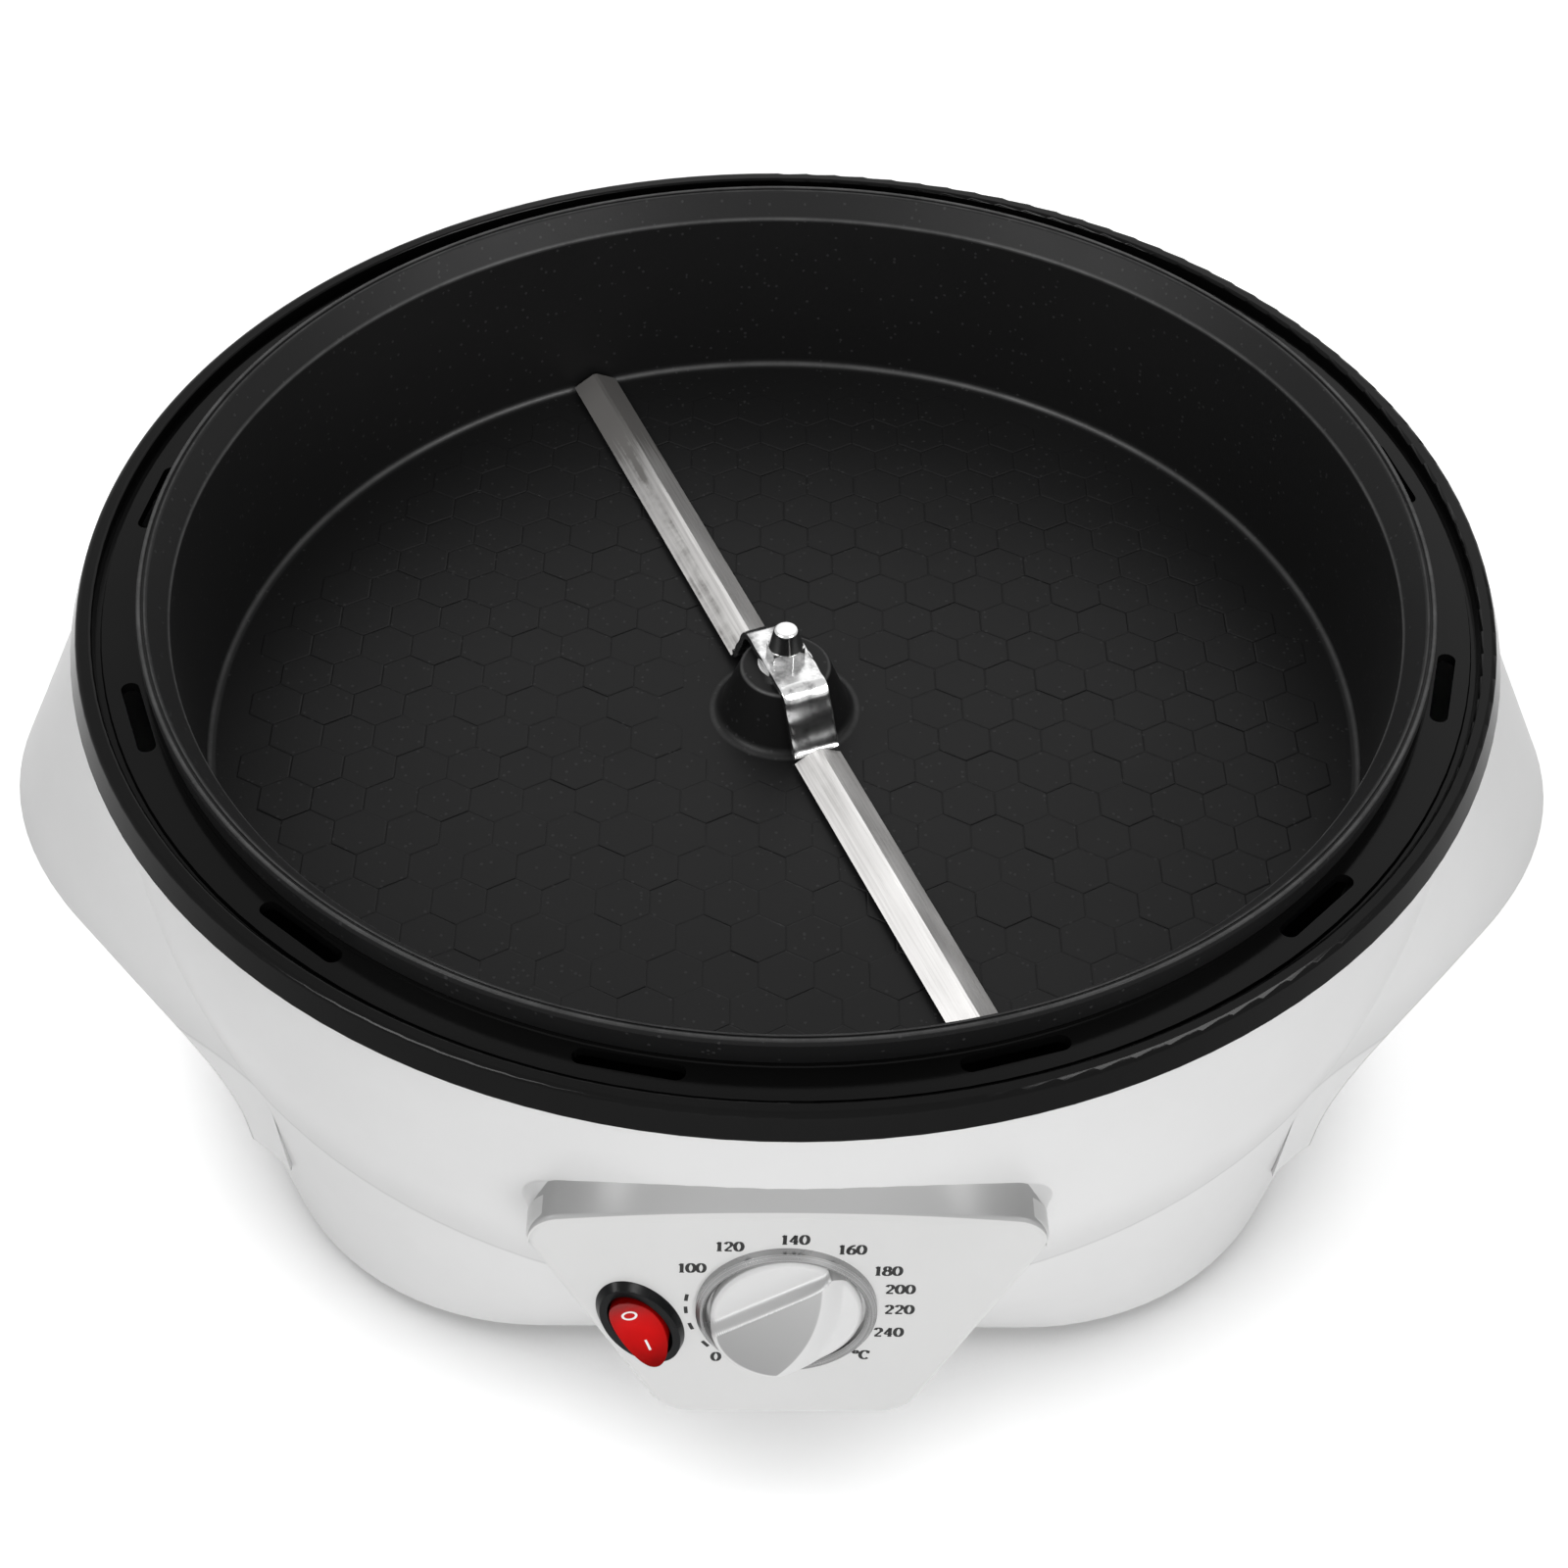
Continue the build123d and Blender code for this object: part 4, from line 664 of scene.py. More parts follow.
@dataclass(frozen=True)
class KnobPlastic(MouldedPlastic):
    """The knob's plastic, with painted shade on the grip's top and steep side, where the mesh's values put
    it.
    """

    grip_shade_grey: Colour = grey(0.28)

    def tint(self, bench: Bench, place: Socket, base: Socket) -> Socket:
        """Blend in the painted shade's grey by the mesh's values."""
        shaded_share = bench.node("Attribute", attribute_name=GRIP_SHADE).outputs["Fac"]
        return bench.blend(shaded_share, base, self.grip_shade_grey)


@dataclass(frozen=True)
class WearAndHighlightLine:
    """A line round the pan's axis where the coating is bright, part wear and part painted highlight: where it
    runs, and how broken it is.
    """

    radius: float
    level: float
    reach: float
    gaps: float


# bright lines on corners and edges: part wear, part painted highlight
WEAR_AND_HIGHLIGHT_LINES = (
    WearAndHighlightLine(145.6, 90.5, 1.0, 0.45),
    WearAndHighlightLine(148.4, 138.5, 0.8, 0.45),
    WearAndHighlightLine(154.7, 145.0, 0.7, 0.6),
    WearAndHighlightLine(153.3, 145.0, 0.5, 0.7),
    WearAndHighlightLine(18.6, 90.6, 1.0, 0.6),
    WearAndHighlightLine(11.2, 104.9, 0.7, 0.5),
)


@dataclass(frozen=True)
class NonStickCoat(Finish):
    """Speckled matt coating, bright along the pan's corners and edges from wear and painted highlight."""

    worn: Colour = grey(0.12)
    speck_gain: float = 3.6
    speck_share: float = 0.8
    mottle_gain: float = 0.75
    rough_span: float = 0.16
    polish: float = 0.12
    grain: float = 0.000022

    def surface(self, bench: Bench, place: Socket) -> Surface:
        """The colour is mottled, then speckled, then made bright and smooth along the lines of wear and
        painted highlight.

        Args:
            bench: the material's bench.
            place: its object coordinates.

        Returns:
            The surface.
        """
        coat = EFFECTS.place(bench, Effect.GRAIN, place, Scale=1500.0, Broad=9.0)
        speck = EFFECTS.place(bench, Effect.SPECKS, place, Scale=900.0, Share=0.06, Size=0.36)["Mask"]
        worn = None
        for line in WEAR_AND_HIGHLIGHT_LINES:
            terms = {"Radius": line.radius * MM, "Level": line.level * MM, "Reach": line.reach * MM}
            ring = EFFECTS.place(bench, Effect.WORN_RING, place, Break=line.gaps, **terms)["Mask"]
            worn = ring if worn is None else bench.math("MAXIMUM", worn, ring)
        share = bench.step(coat["Mottle"], *MOTTLED)
        base = bench.blend(share, self.colour, scaled(self.colour, self.mottle_gain))
        base = bench.blend(
            bench.math("MULTIPLY", speck, self.speck_share), base, scaled(self.colour, self.speck_gain)
        )
        rough = self.spread(bench, coat["Mottle"], self.rough_span)
        rough = bench.math("MULTIPLY_ADD", worn, -self.polish, rough)
        return Surface(bench.blend(worn, base, self.worn), rough, coat["Height"], self.grain)


@dataclass(frozen=True)
class Metal(Finish):
    """Bare or plated metal with patchy roughness and fine marks."""

    metallic: float = 1.0
    patch: float = 0.12
    patch_scale: float = 60.0
    marks: float = 0.000004
    tarnish_and_reflection: float = 0.25
    tarnish_and_reflection_range: tuple[float, float] = (0.42, 0.75)
    wave: float = 0.0
    wave_scale: float = 110.0

    def surface(self, bench: Bench, place: Socket) -> Surface:
        """The colour dulls in patches, the roughness follows them, and a slow swell bends what it mirrors.

        Args:
            bench: the material's bench.
            place: its object coordinates.

        Returns:
            The surface.
        """
        fine = EFFECTS.place(bench, Effect.GRAIN, place, Scale=1100.0, Broad=self.patch_scale)
        # dull patches: tarnish, and on the strap a painted reflection of a darker surround
        dull = scaled(self.colour, 1 - self.tarnish_and_reflection)
        base = bench.blend(bench.step(fine["Mottle"], *self.tarnish_and_reflection_range), self.colour, dull)
        rough = self.spread(bench, fine["Mottle"], self.patch)
        swell = bench.noise(place, self.wave_scale, 1.0)
        height = bench.math("MULTIPLY_ADD", swell, self.wave / self.marks, fine["Height"])
        return Surface(base, rough, height, self.marks)


@dataclass(frozen=True)
class DrawnMetal(Finish):
    """Metal strip with streaks along its length, darker in blotches and at given stretches of it.

    Each stretch is (where its darkening starts, where it is full, how strong), in metres along the strip.
    """

    metallic: float = 1.0
    seat: Seat = STIRRER
    dark_tone: Colour = (0.16, 0.155, 0.15)
    # darker on the front arm towards the hub, and on the rear arm throughout and most at its outer end
    stretches: tuple[Point, ...] = ((0.085, 0.125, 0.8), (-0.08, -0.03, 0.25))
    blotches: float = 0.75
    hairlines: float = 0.35
    dark_tone_rough: float = 0.25
    marks: float = 0.00002

    def surface(self, bench: Bench, place: Socket) -> Surface:
        """The streaks run along the seat's across axis, and the darkening is the sum of its parts.

        Args:
            bench: the material's bench.
            place: its object coordinates.

        Returns:
            The surface.
        """
        along = bench.along(place, self.seat.across)
        strip = bench.join(along, bench.along(place, self.seat.out), bench.level(place))
        drawn = EFFECTS.place(bench, Effect.STREAKS, strip, Scale=900.0, Stretch=0.02)
        blotch = bench.step(bench.noise(strip, 55.0, 5.0, 0.7), 0.4, 0.7)
        both = bench.math("MULTIPLY", bench.step(drawn["Broad"], 0.45, 0.7), blotch)
        fine = bench.step(drawn["Fine"], 0.35, 0.72, 0.0, self.hairlines)
        share = bench.math("ADD", bench.math("MULTIPLY", both, self.blotches), fine)
        for start, full, most in self.stretches:
            share = bench.math("ADD", share, bench.step(along, start, full, 0.0, most), clamp=True)
        rough = bench.math("MULTIPLY_ADD", share, self.dark_tone_rough, self.rough)
        return Surface(bench.blend(share, self.colour, self.dark_tone), rough, drawn["Fine"], self.marks)


@dataclass(frozen=True)
class TurnedMetal(Finish):
    """Plated ring with fine lines turned round an axis."""

    metallic: float = 1.0
    seat: Seat = PANEL
    lines: float = 0.00004
    line_gain: float = 0.55
    rough_span: float = 0.15

    def surface(self, bench: Bench, place: Socket) -> Surface:
        """The lines are read from the place as measured from the seat, along its own axes.

        Args:
            bench: the material's bench.
            place: its object coordinates.

        Returns:
            The surface.
        """
        away = bench.vector("SUBTRACT", place, scaled(self.seat.origin, MM))
        axes = (self.seat.across, self.seat.up, self.seat.out)
        local = bench.join(*(bench.along(away, axis) for axis in axes))
        turned = EFFECTS.place(bench, Effect.TURNED, local, Scale=2600.0)["Height"]
        patchy = EFFECTS.place(bench, Effect.GRAIN, place, Scale=1600.0, Broad=120.0)["Mottle"]
        base = bench.blend(bench.step(turned, 0.4, 0.66), self.colour, scaled(self.colour, self.line_gain))
        rough = bench.math("MULTIPLY_ADD", patchy, self.rough_span, self.rough)
        return Surface(base, rough, turned, self.lines)


@dataclass(frozen=True)
class TintedPlastic(Finish):
    """Clear tinted plastic, deeper in colour towards its ends and glossy on top."""

    deep: Colour = (0.2, 0.0, 0.0)
    seat: Seat = ROCKER
    reach: float = 9.0
    fade: tuple[float, float] = (0.35, 1.3)
    deepening: float = 0.8
    cloudiness: float = 0.35
    grain: float = 0.000004

    def surface(self, bench: Bench, place: Socket) -> Surface:
        """The tint deepens with the distance from the seat's middle, a little unevenly.

        Args:
            bench: the material's bench.
            place: its object coordinates.

        Returns:
            The surface.
        """
        away = bench.vector("DISTANCE", place, scaled(self.seat.origin, MM), out="Value")
        deep = bench.math("MULTIPLY", bench.step(away, *scaled(self.fade, self.reach * MM)), self.deepening)
        mixed = bench.math("MULTIPLY_ADD", bench.noise(place, 240.0), self.cloudiness, deep, clamp=True)
        height = EFFECTS.place(bench, Effect.GRAIN, place, Scale=700.0)["Height"]
        return Surface(bench.blend(mixed, self.colour, self.deep), self.rough, height, self.grain)


# ---------------------------------------------------------------- the frame's own nodes
WHITE = (0.63, 0.63, 0.627)
FINISHES: tuple[Finish, ...] = (
    BowlPlastic("housing_white", grey(0.70), 0.34, specular=0.4, edge=0.7),
    MouldedPlastic("panel_white", WHITE, 0.3, edge=0.5, grain=0.000014),
    MouldedPlastic("base_white", (0.72, 0.72, 0.71), 0.5, grain_scale=900.0, grain=0.00003),
    MouldedPlastic("rubber_black", grey(0.018), 0.8, specular=0.25, grain=0.00004, dust=0.1),
    MouldedPlastic("ring_black", grey(0.0045), 0.12, specular=0.08, grain=0.000006, dust=0.006, mottle=0.2),
    NonStickCoat("pan_black", (0.010, 0.010, 0.0102), 0.46, specular=0.14),
    DrawnMetal("arm_steel", (0.74, 0.73, 0.72), 0.34),
    Metal("bright_chrome", grey(0.62), 0.12, edge=0.3, tarnish_and_reflection=0.15, wave=0.00035),
    TurnedMetal("bezel_chrome", grey(0.34), 0.2),
    KnobPlastic("knob_silver", grey(0.66), 0.42, metallic=0.1, grain=0.000006, dust=0.0),
    MouldedPlastic("switch_black", (0.006, 0.0065, 0.007), 0.28, specular=0.09, edge=0.3, dust=0.0),
    TintedPlastic("rocker_red", (0.62, 0.002, 0.002), 0.25, specular=0.08, edge=0.4),
    Metal("sheet_steel", (0.56, 0.56, 0.55), 0.34, patch=0.3),
    Metal("zinc_screw", (0.62, 0.62, 0.6), 0.3, patch_scale=200.0),
    Metal("element_steel", (0.30, 0.29, 0.28), 0.42, tarnish_and_reflection=0.5, patch_scale=30.0),
    Metal("shaft_steel", grey(0.60), 0.22),
    Metal("bushing_brass", (0.66, 0.47, 0.2), 0.3),
    Metal("motor_steel", grey(0.48), 0.38, patch=0.25),
    Metal("thermostat_steel", (0.58, 0.57, 0.54), 0.3),
    Metal("capillary_copper", (0.72, 0.38, 0.24), 0.28, tarnish_and_reflection=0.4),
    MouldedPlastic("terminal_plastic", (0.55, 0.54, 0.5), 0.45, dust=0.1),
    MouldedPlastic("gland_black", grey(0.015), 0.5, specular=0.3, grain=0.00003),
)
DIAL_INK = MouldedPlastic("dial_ink", grey(0.012), 0.45, specular=0.3, dust=0.0)
MARK_WHITE = MouldedPlastic("mark_white", (0.82, 0.82, 0.8), 0.4, dust=0.0)
# the strap's heavy dull patches are painted reflection of a dark and bright surround
STRAP_STEEL = Metal("strap_steel", grey(0.62), 0.2, tarnish_and_reflection=0.75, patch_scale=210.0, wave=0.0008)
# the brow's upward faces are painted grey as shade
BROW_TOP_SHADED = TopShadedPlastic("brow_white_top_shaded", WHITE, 0.4, specular=0.3)


@dataclass
class FrameDress:
    """Dresses the frame's nodes: one finish for each of the record's slots."""

    nodes: dict[str, bpy.types.Object]
    finishes: dict[str, bpy.types.Material] = field(default_factory=dict)

    def build(self) -> None:
        """Make the finishes; each is named for its slot."""
        self.finishes = {kind.name: kind.make() for kind in FINISHES}

    def dress(self) -> None:
        """Put each node's finish in its material slots, by the slot it was packed with."""
        for name, node in self.nodes.items():
            for place in node.material_slots:
                slot = place.material.name.split(".")[0] if place.material else ""
                if slot in self.finishes:
                    place.material = self.finishes[slot]
                    log.info("dressed %s in %s", name, slot)


# ---------------------------------------------------------------- pan
@dataclass
class PanShell:
    """The pan: hub, floor, wall and rolled rim in one turned section, and four bosses under the floor."""

    hub: tuple[float, float] = (11.4, 17.0)
    hub_top: float = 105.0
    bore: float = 6.5
    collar: tuple[float, float] = (10.5, 83.6)
    underside: float = 87.6
    floor: tuple[float, float] = (146.0, 90.0)
    mouth: tuple[float, float] = (148.4, 138.4)
    bead: tuple[float, float] = (152.8, 153.7)
    crest: tuple[float, float] = (154.3, 155.6)
    top: float = 145.0
    groove: float = 144.4
    lip: tuple[float, float] = (154.9, 137.7)
    wall: float = 1.8
    corner: float = 2.2
    hub_foot: float = 2.6
    hub_edge: float = 1.0
    crisp: float = 0.1
    soft: float = 0.2
    boss: tuple[float, float] = (1.55, 4.5)
    boss_foot: float = 74.0
    boss_sunk: float = 0.5
    boss_spots: tuple[tuple[float, float], ...] = ((54, 14), (54, -14), (-54, 14), (-54, -14))
    steps: int = 240
    boss_steps: int = 32

    def build(self, coat: bpy.types.Material) -> bpy.types.Object:
        """Turn the section clockwise from the bore's foot, up over hub, floor, wall and rim and back below.

        Args:
            coat: the pan's finish.

        Returns:
            The piece.
        """
        section = np.array(
            [
                (self.bore, self.collar[1], self.crisp),
                (self.bore, self.hub_top, self.soft),
                (self.hub[0], self.hub_top, self.hub_edge),
                (self.hub[1], self.floor[1], self.hub_foot),
                (*self.floor, self.corner),
                (*self.mouth, 0.5),
                (self.bead[0], self.groove, 0.4),
                (self.bead[1], self.top, self.soft),
                (self.bead[1], self.groove, self.crisp),
                (self.crest[0], self.groove, self.crisp),
                (self.crest[0], self.top, self.soft),
                (self.crest[1] - 0.4, self.top, self.soft),
                (self.crest[1], self.top - 1.2, 0.3),
                (*self.lip, self.soft),
                (self.mouth[0] + self.wall, self.lip[1], self.soft),
                (self.floor[0] + self.wall, self.underside, 1.5),
                (self.collar[0], self.underside, self.soft),
                (*self.collar, self.soft),
            ]
        )
        grids = [revolve(rounded(section, 5, 0.05), UPRIGHT, self.steps)]
        for x, y in self.boss_spots:
            ends = (self.boss_foot, self.underside + self.boss_sunk)
            tube = np.array([(radius, level, self.soft) for radius in self.boss for level in ends])
            outline = rounded(tube[[0, 1, 3, 2]], 3, 0.05)
            grids.append(revolve(outline, UPRIGHT.turned(x, y, 0, 0), self.boss_steps))
        return make_piece("pan_shell", grids, coat, crease=35.0)


@dataclass
class PanTiles:
    """Low hexagonal tiles pressed up from the pan's floor, each at its own height."""

    pitch: float = 13.0
    inner: float = 30.0
    outer: float = 133.0
    floor: float = 90.0
    low: float = 0.08
    high: float = 0.3
    bevel: float = 0.4
    drop: float = 0.1
    gap: float = 0.04
    sunk: float = 0.2
    golden: float = 0.618034

    def middles(self) -> np.ndarray:
        """Find the whole tiles between hub and wall: x = pitch (u + v / 2), y = pitch v sqrt(3) / 2.

        Returns:
            The tiles' middles.
        """
        steps = np.arange(-16, 17)
        u, v = np.meshgrid(steps, steps)
        x, y = self.pitch * (u + v / 2), self.pitch * v * 3**0.5 / 2
        reach = np.hypot(x, y)
        kept = (reach > self.inner) & (reach < self.outer)
        return np.stack([x[kept], y[kept]], -1)

    def build(self, coat: bpy.types.Material) -> bpy.types.Object:
        """Make all the tiles as one mesh; the heights step through the golden section, so neighbours differ.

        Args:
            coat: the pan's finish.

        Returns:
            The piece.
        """
        corner = np.radians(np.arange(30, 390, 60))
        compass = np.stack([np.cos(corner), np.sin(corner)], -1)
        full = self.pitch / 3**0.5 - self.gap
        radii = np.array([full, full, full - self.bevel])[:, None, None]
        grids = []
        for number, middle in enumerate(self.middles()):
            top = self.floor + self.low + (self.golden * number % 1.0) * (self.high - self.low)
            flat = middle + radii * compass
            level = np.array([self.floor - self.sunk, top - self.drop, top])[:, None, None]
            points = np.concatenate([flat, np.broadcast_to(level, (3, 6, 1))], -1)
            grids.append(Grid(points, caps=(True, True)))
        return make_piece("pan_tiles", grids, coat, crease=8.0)


# ---------------------------------------------------------------- knob and stirrer
def lower_of(first: np.ndarray, second: np.ndarray, soft: float) -> np.ndarray:
    """The lower of two heights, rounded where they meet: (a + b - sqrt((a - b)^2 + 4 soft^2)) / 2."""
    return (first + second - np.sqrt((first - second) ** 2 + 4 * soft**2)) / 2


@dataclass
class KnobSkin:
    """The knob's outside: a bevelled disc with a wedge grip that rises towards its nose.

    Heights are above the panel's face, and reaches are from the knob's axis.
    """

    radius: float = 16.3
    foot: float = 0.5
    disc: float = 2.8
    disc_slope: float = 0.06
    bevel: float = 0.8
    nose_angle: float = 232.0
    nose_top: float = 7.8
    tail_top: float = 5.4
    nose_round: float = 3.0
    steep_angle: float = 119.0
    steep_reach: float = 6.2
    steep_draft: float = 76.0
    broad_angle: float = 327.2
    broad_reach: float = 13.0
    broad_draft: float = 33.0
    broad_bulge: float = 0.0165
    broad_middle: float = 7.5
    soft: float = 0.2
    broad_soft: float = 0.4
    steep_side_shade: float = 0.6
    rings: int = 110
    columns: int = 360

    def slope(self, x: np.ndarray, y: np.ndarray, angle: float, start: float, rise: float) -> np.ndarray:
        """Height of a plane that rises by a given share along an angle, from its height on the axis."""
        turn = np.radians(angle)
        return start + rise * (x * np.cos(turn) + y * np.sin(turn))

    def heights(self, x: np.ndarray, y: np.ndarray) -> tuple[np.ndarray, np.ndarray]:
        """The grip is the lowest of top, sides and rounded nose; the knob is the higher of grip and disc.

        Args:
            x: places across the panel.
            y: places up the panel.

        Returns:
            The knob's height at each place, and the share of painted shade there: where the grip's top shows,
            darker towards the nose, and part of the steep side.
        """
        reach = np.hypot(x, y)
        lift = (self.nose_top - self.tail_top) / (2 * self.radius)
        top = self.slope(x, y, self.nose_angle, (self.nose_top + self.tail_top) / 2, lift)
        fall = np.tan(np.radians(self.steep_draft))
        steep = self.slope(x, y, self.steep_angle, self.nose_top + fall * self.steep_reach, -fall)
        fall = np.tan(np.radians(self.broad_draft))
        bulge = self.broad_bulge * (self.slope(x, y, self.nose_angle, 0.0, 1.0) - self.broad_middle) ** 2
        face = self.slope(x, y, self.nose_angle, self.disc, self.disc_slope)
        broad = face + self.slope(x, y, self.broad_angle, fall * self.broad_reach, -fall) - fall * bulge
        past = np.clip(reach - (self.radius - self.nose_round), 0, self.nose_round)
        nose = self.nose_top - self.nose_round + np.sqrt(self.nose_round**2 - past**2) + self.soft
        sides = lower_of(steep, nose, self.soft)
        grip = lower_of(lower_of(top, broad, self.broad_soft), sides, self.soft)
        disc = lower_of(face, face + self.radius - self.bevel - reach, self.soft)
        # painted shade: the grip's top where it shows, darker towards the nose, then part of the steep side
        shown = np.clip((np.minimum(np.minimum(broad, sides), 2 * top - disc) - top) / self.soft, 0, 1)
        shown *= 0.8 + 0.2 * self.slope(x, y, self.nose_angle, 0.0, 1.0 / self.radius)
        beside = np.clip((np.minimum(top, 2 * steep - disc) - steep) / (4 * self.soft), 0, 1)
        shown = np.maximum(shown, self.steep_side_shade * beside)
        return -lower_of(-grip, -disc, self.soft), shown

    def build(self, finish: bpy.types.Material) -> bpy.types.Object:
        """Lay the heights over rings of points and close the knob below.

        Args:
            finish: the knob's finish.

        Returns:
            The piece.
        """
        reach = np.linspace(self.radius, 0.15, self.rings)[:, None]
        turn = full_turn(self.columns)
        x, y = reach * np.cos(turn), reach * np.sin(turn)
        height, shown = self.heights(x, y)
        face = np.stack([x, y, height], -1)
        foot = np.stack([x[0], y[0], np.full(self.columns, self.foot)], -1)
        grid = Grid(PANEL.place(np.concatenate([foot[None], face])), caps=(True, True))
        piece = make_piece("knob_skin", [grid], finish, crease=50.0)
        # the painted shade's values go on the mesh, for the knob's finish to read
        marks = np.concatenate([np.zeros(self.columns), shown.ravel(), [0.0, shown[-1].mean()]])
        kept = piece.data.attributes.new(GRIP_SHADE, "FLOAT", "POINT")
        kept.data.foreach_set("value", marks.astype(np.float32))
        return piece


@dataclass
class ArmStrip:
    """One stirrer arm: a strip folded to a low roof, a little uneven along its length."""

    start: float = 21.6
    end: float = 144.2
    low: float = 92.0
    half_width: float = 6.2
    crown: float = 0.55
    rise: float = 3.25
    gauge: float = 1.1
    bend: tuple[float, float] = (0.55, 0.49)
    dent: float = 0.09
    dent_waves: tuple[float, float] = (0.31, 0.17)
    steps: int = 120

    def build(self, name: str, side: float, finish: bpy.types.Material) -> bpy.types.Object:
        """Run the folded section along the arm; its height wavers as two sines of the place along it.

        Args:
            name: the piece's name.
            side: 1 for the rear arm, -1 for the front one.
            finish: the arms' finish.

        Returns:
            The piece.
        """
        wide, crown, rise, gauge = self.half_width, self.crown, self.rise, self.gauge
        fold = gauge * 0.45
        outer = np.array([(wide, 0), (wide * self.bend[0], rise * self.bend[1]), (crown, rise - 0.03)])
        inner = np.array([(wide - gauge, 0), (crown, rise - gauge - fold)])
        mirror = np.array([-1, 1])
        section = np.vstack([outer * mirror, [(0, rise)], outer[::-1], inner, inner[::-1] * mirror])
        along = np.linspace(self.start, self.end, self.steps)[:, None]
        twist, sway = self.dent_waves
        waver = np.sin(along * twist) * section[:, 0] / wide + np.sin(along * sway + section[:, 0])
        waver *= self.dent
        aside = np.broadcast_to(section[:, 0], waver.shape)
        height = self.low + section[:, 1] + waver * (section[:, 1] > 0)
        points = np.stack([side * (along + 0 * aside), height, side * aside], -1)
        return make_piece(name, [Grid(STIRRER.place(points), caps=(True, True))], finish, crease=18.0)


@dataclass
class StrapBand:
    """The bent strap over the hub: a round-edged band with soft bends, narrowed to tongues under the arms."""

    foot: float = 34.0
    knee: float = 20.3
    flat: float = 12.6
    tongue_level: float = 93.05
    flat_level: float = 107.25
    bends: tuple[float, float] = (2.6, 4.2)
    gauge: float = 2.0
    half_width: float = 6.0
    half_tongue: float = 2.4
    tongue_start: float = 21.1
    shoulder: float = 0.4
    soft: float = 0.15
    dent: float = 0.16
    dent_waves: tuple[float, float, float] = (0.9, 0.5, 0.45)
    arc: int = 12
    steps: int = 150

    def build(self, finish: bpy.types.Material) -> bpy.types.Object:
        """Carry the band's section along its middle line; the faces waver as sines of the place on them.

        Args:
            finish: the strap's finish.

        Returns:
            The piece.
        """
        low, high = self.bends
        path = np.array(
            [
                (-self.foot, 0, 0.1),
                (-self.foot, self.tongue_level, 0.1),
                (-self.knee, self.tongue_level, low),
                (-self.flat, self.flat_level, high),
                (self.flat, self.flat_level, high),
                (self.knee, self.tongue_level, low),
                (self.foot, self.tongue_level, 0.1),
                (self.foot, 0, 0.1),
            ]
        )
        ends = 2 * self.arc + 3
        line = rounded(path, self.arc, 0.0)[ends:-ends]
        stops = np.concatenate([[0], np.cumsum(np.linalg.norm(np.diff(line, axis=0), axis=1))])
        run = np.linspace(0, stops[-1], self.steps)
        line = np.stack([np.interp(run, stops, line[:, i]) for i in (0, 1)], -1)
        normal = normals(line, False)
        thick, soft = self.gauge / 2, self.soft
        edge = np.array([(-1, -thick, soft), (-1, thick, soft), (1, thick, soft), (1, -thick, soft)])
        section = rounded(edge, 5, 0.1)
        narrow = np.clip((np.abs(line[:, :1]) - self.tongue_start) / self.shoulder, 0, 1)
        half = self.half_width + (self.half_tongue - self.half_width) * narrow
        aside = half * section[:, 0]
        ahead, skew, across = self.dent_waves
        waver = self.dent * np.sin(ahead * run[:, None] + skew * aside) * np.cos(across * aside)
        lift = section[:, 1] + waver * (1 - narrow)
        along = line[:, :1] + normal[:, :1] * lift
        level = line[:, 1:] + normal[:, 1:] * lift
        points = np.stack([along, level, aside], -1)
        return make_piece("strap_band", [Grid(STIRRER.place(points), caps=(True, True))], finish, crease=50.0)


# ---------------------------------------------------------------- panel brow
@dataclass
class PanelBrow:
    """The panel's arched upper edge: a sloping band that runs back from the face into the bowl."""

    half_length: float = 54.6
    face: float = -170.95
    front_level: float = 105.9
    front_arch: float = 2.4
    back_level: float = 104.0
    back_arch: float = 12.0
    bowl_radius: float = 168.9
    sunk: float = 0.8
    depth: float = 6.0
    round_end: float = 6.5
    front_depth: float = 2.8
    soft: float = 0.3
    steps: int = 160

    def build(self, finish: bpy.types.Material) -> bpy.types.Object:
        """Carry the section across the panel.

        Both levels rise by their arch times 1 - (x / half)^2 and fall off round a quarter circle at the ends.

        Args:
            finish: the brow's finish.

        Returns:
            The piece.
        """
        x = self.half_length * np.sin(np.linspace(-np.pi / 2, np.pi / 2, self.steps))
        arch = 1 - (x / self.half_length) ** 2
        past = np.clip((np.abs(x) - self.half_length) / self.round_end + 1, 0, 1)
        drop = self.round_end * (1 - np.sqrt(1 - past**2))
        front = self.front_level + self.front_arch * arch - drop
        back = self.back_level + self.back_arch * arch - drop
        bowl = self.sunk - np.sqrt(self.bowl_radius**2 - x**2)
        face = np.full(self.steps, self.face)
        soft = np.full(self.steps, self.soft)
        corners = (
            (face, front - self.front_depth, soft),
            (face, front, 3 * soft),
            (bowl, back, soft),
            (bowl, back - self.depth, soft),
        )
        corners = np.moveaxis(np.array(corners), -1, 0)
        section = rounded(corners, 6, 0.15)[:, ::-1]
        across = np.broadcast_to(x[:, None], section.shape[:2])
        points = np.stack([across, section[..., 0], section[..., 1]], -1)
        return make_piece("panel_brow", [Grid(points, caps=(True, True))], finish, crease=50.0)


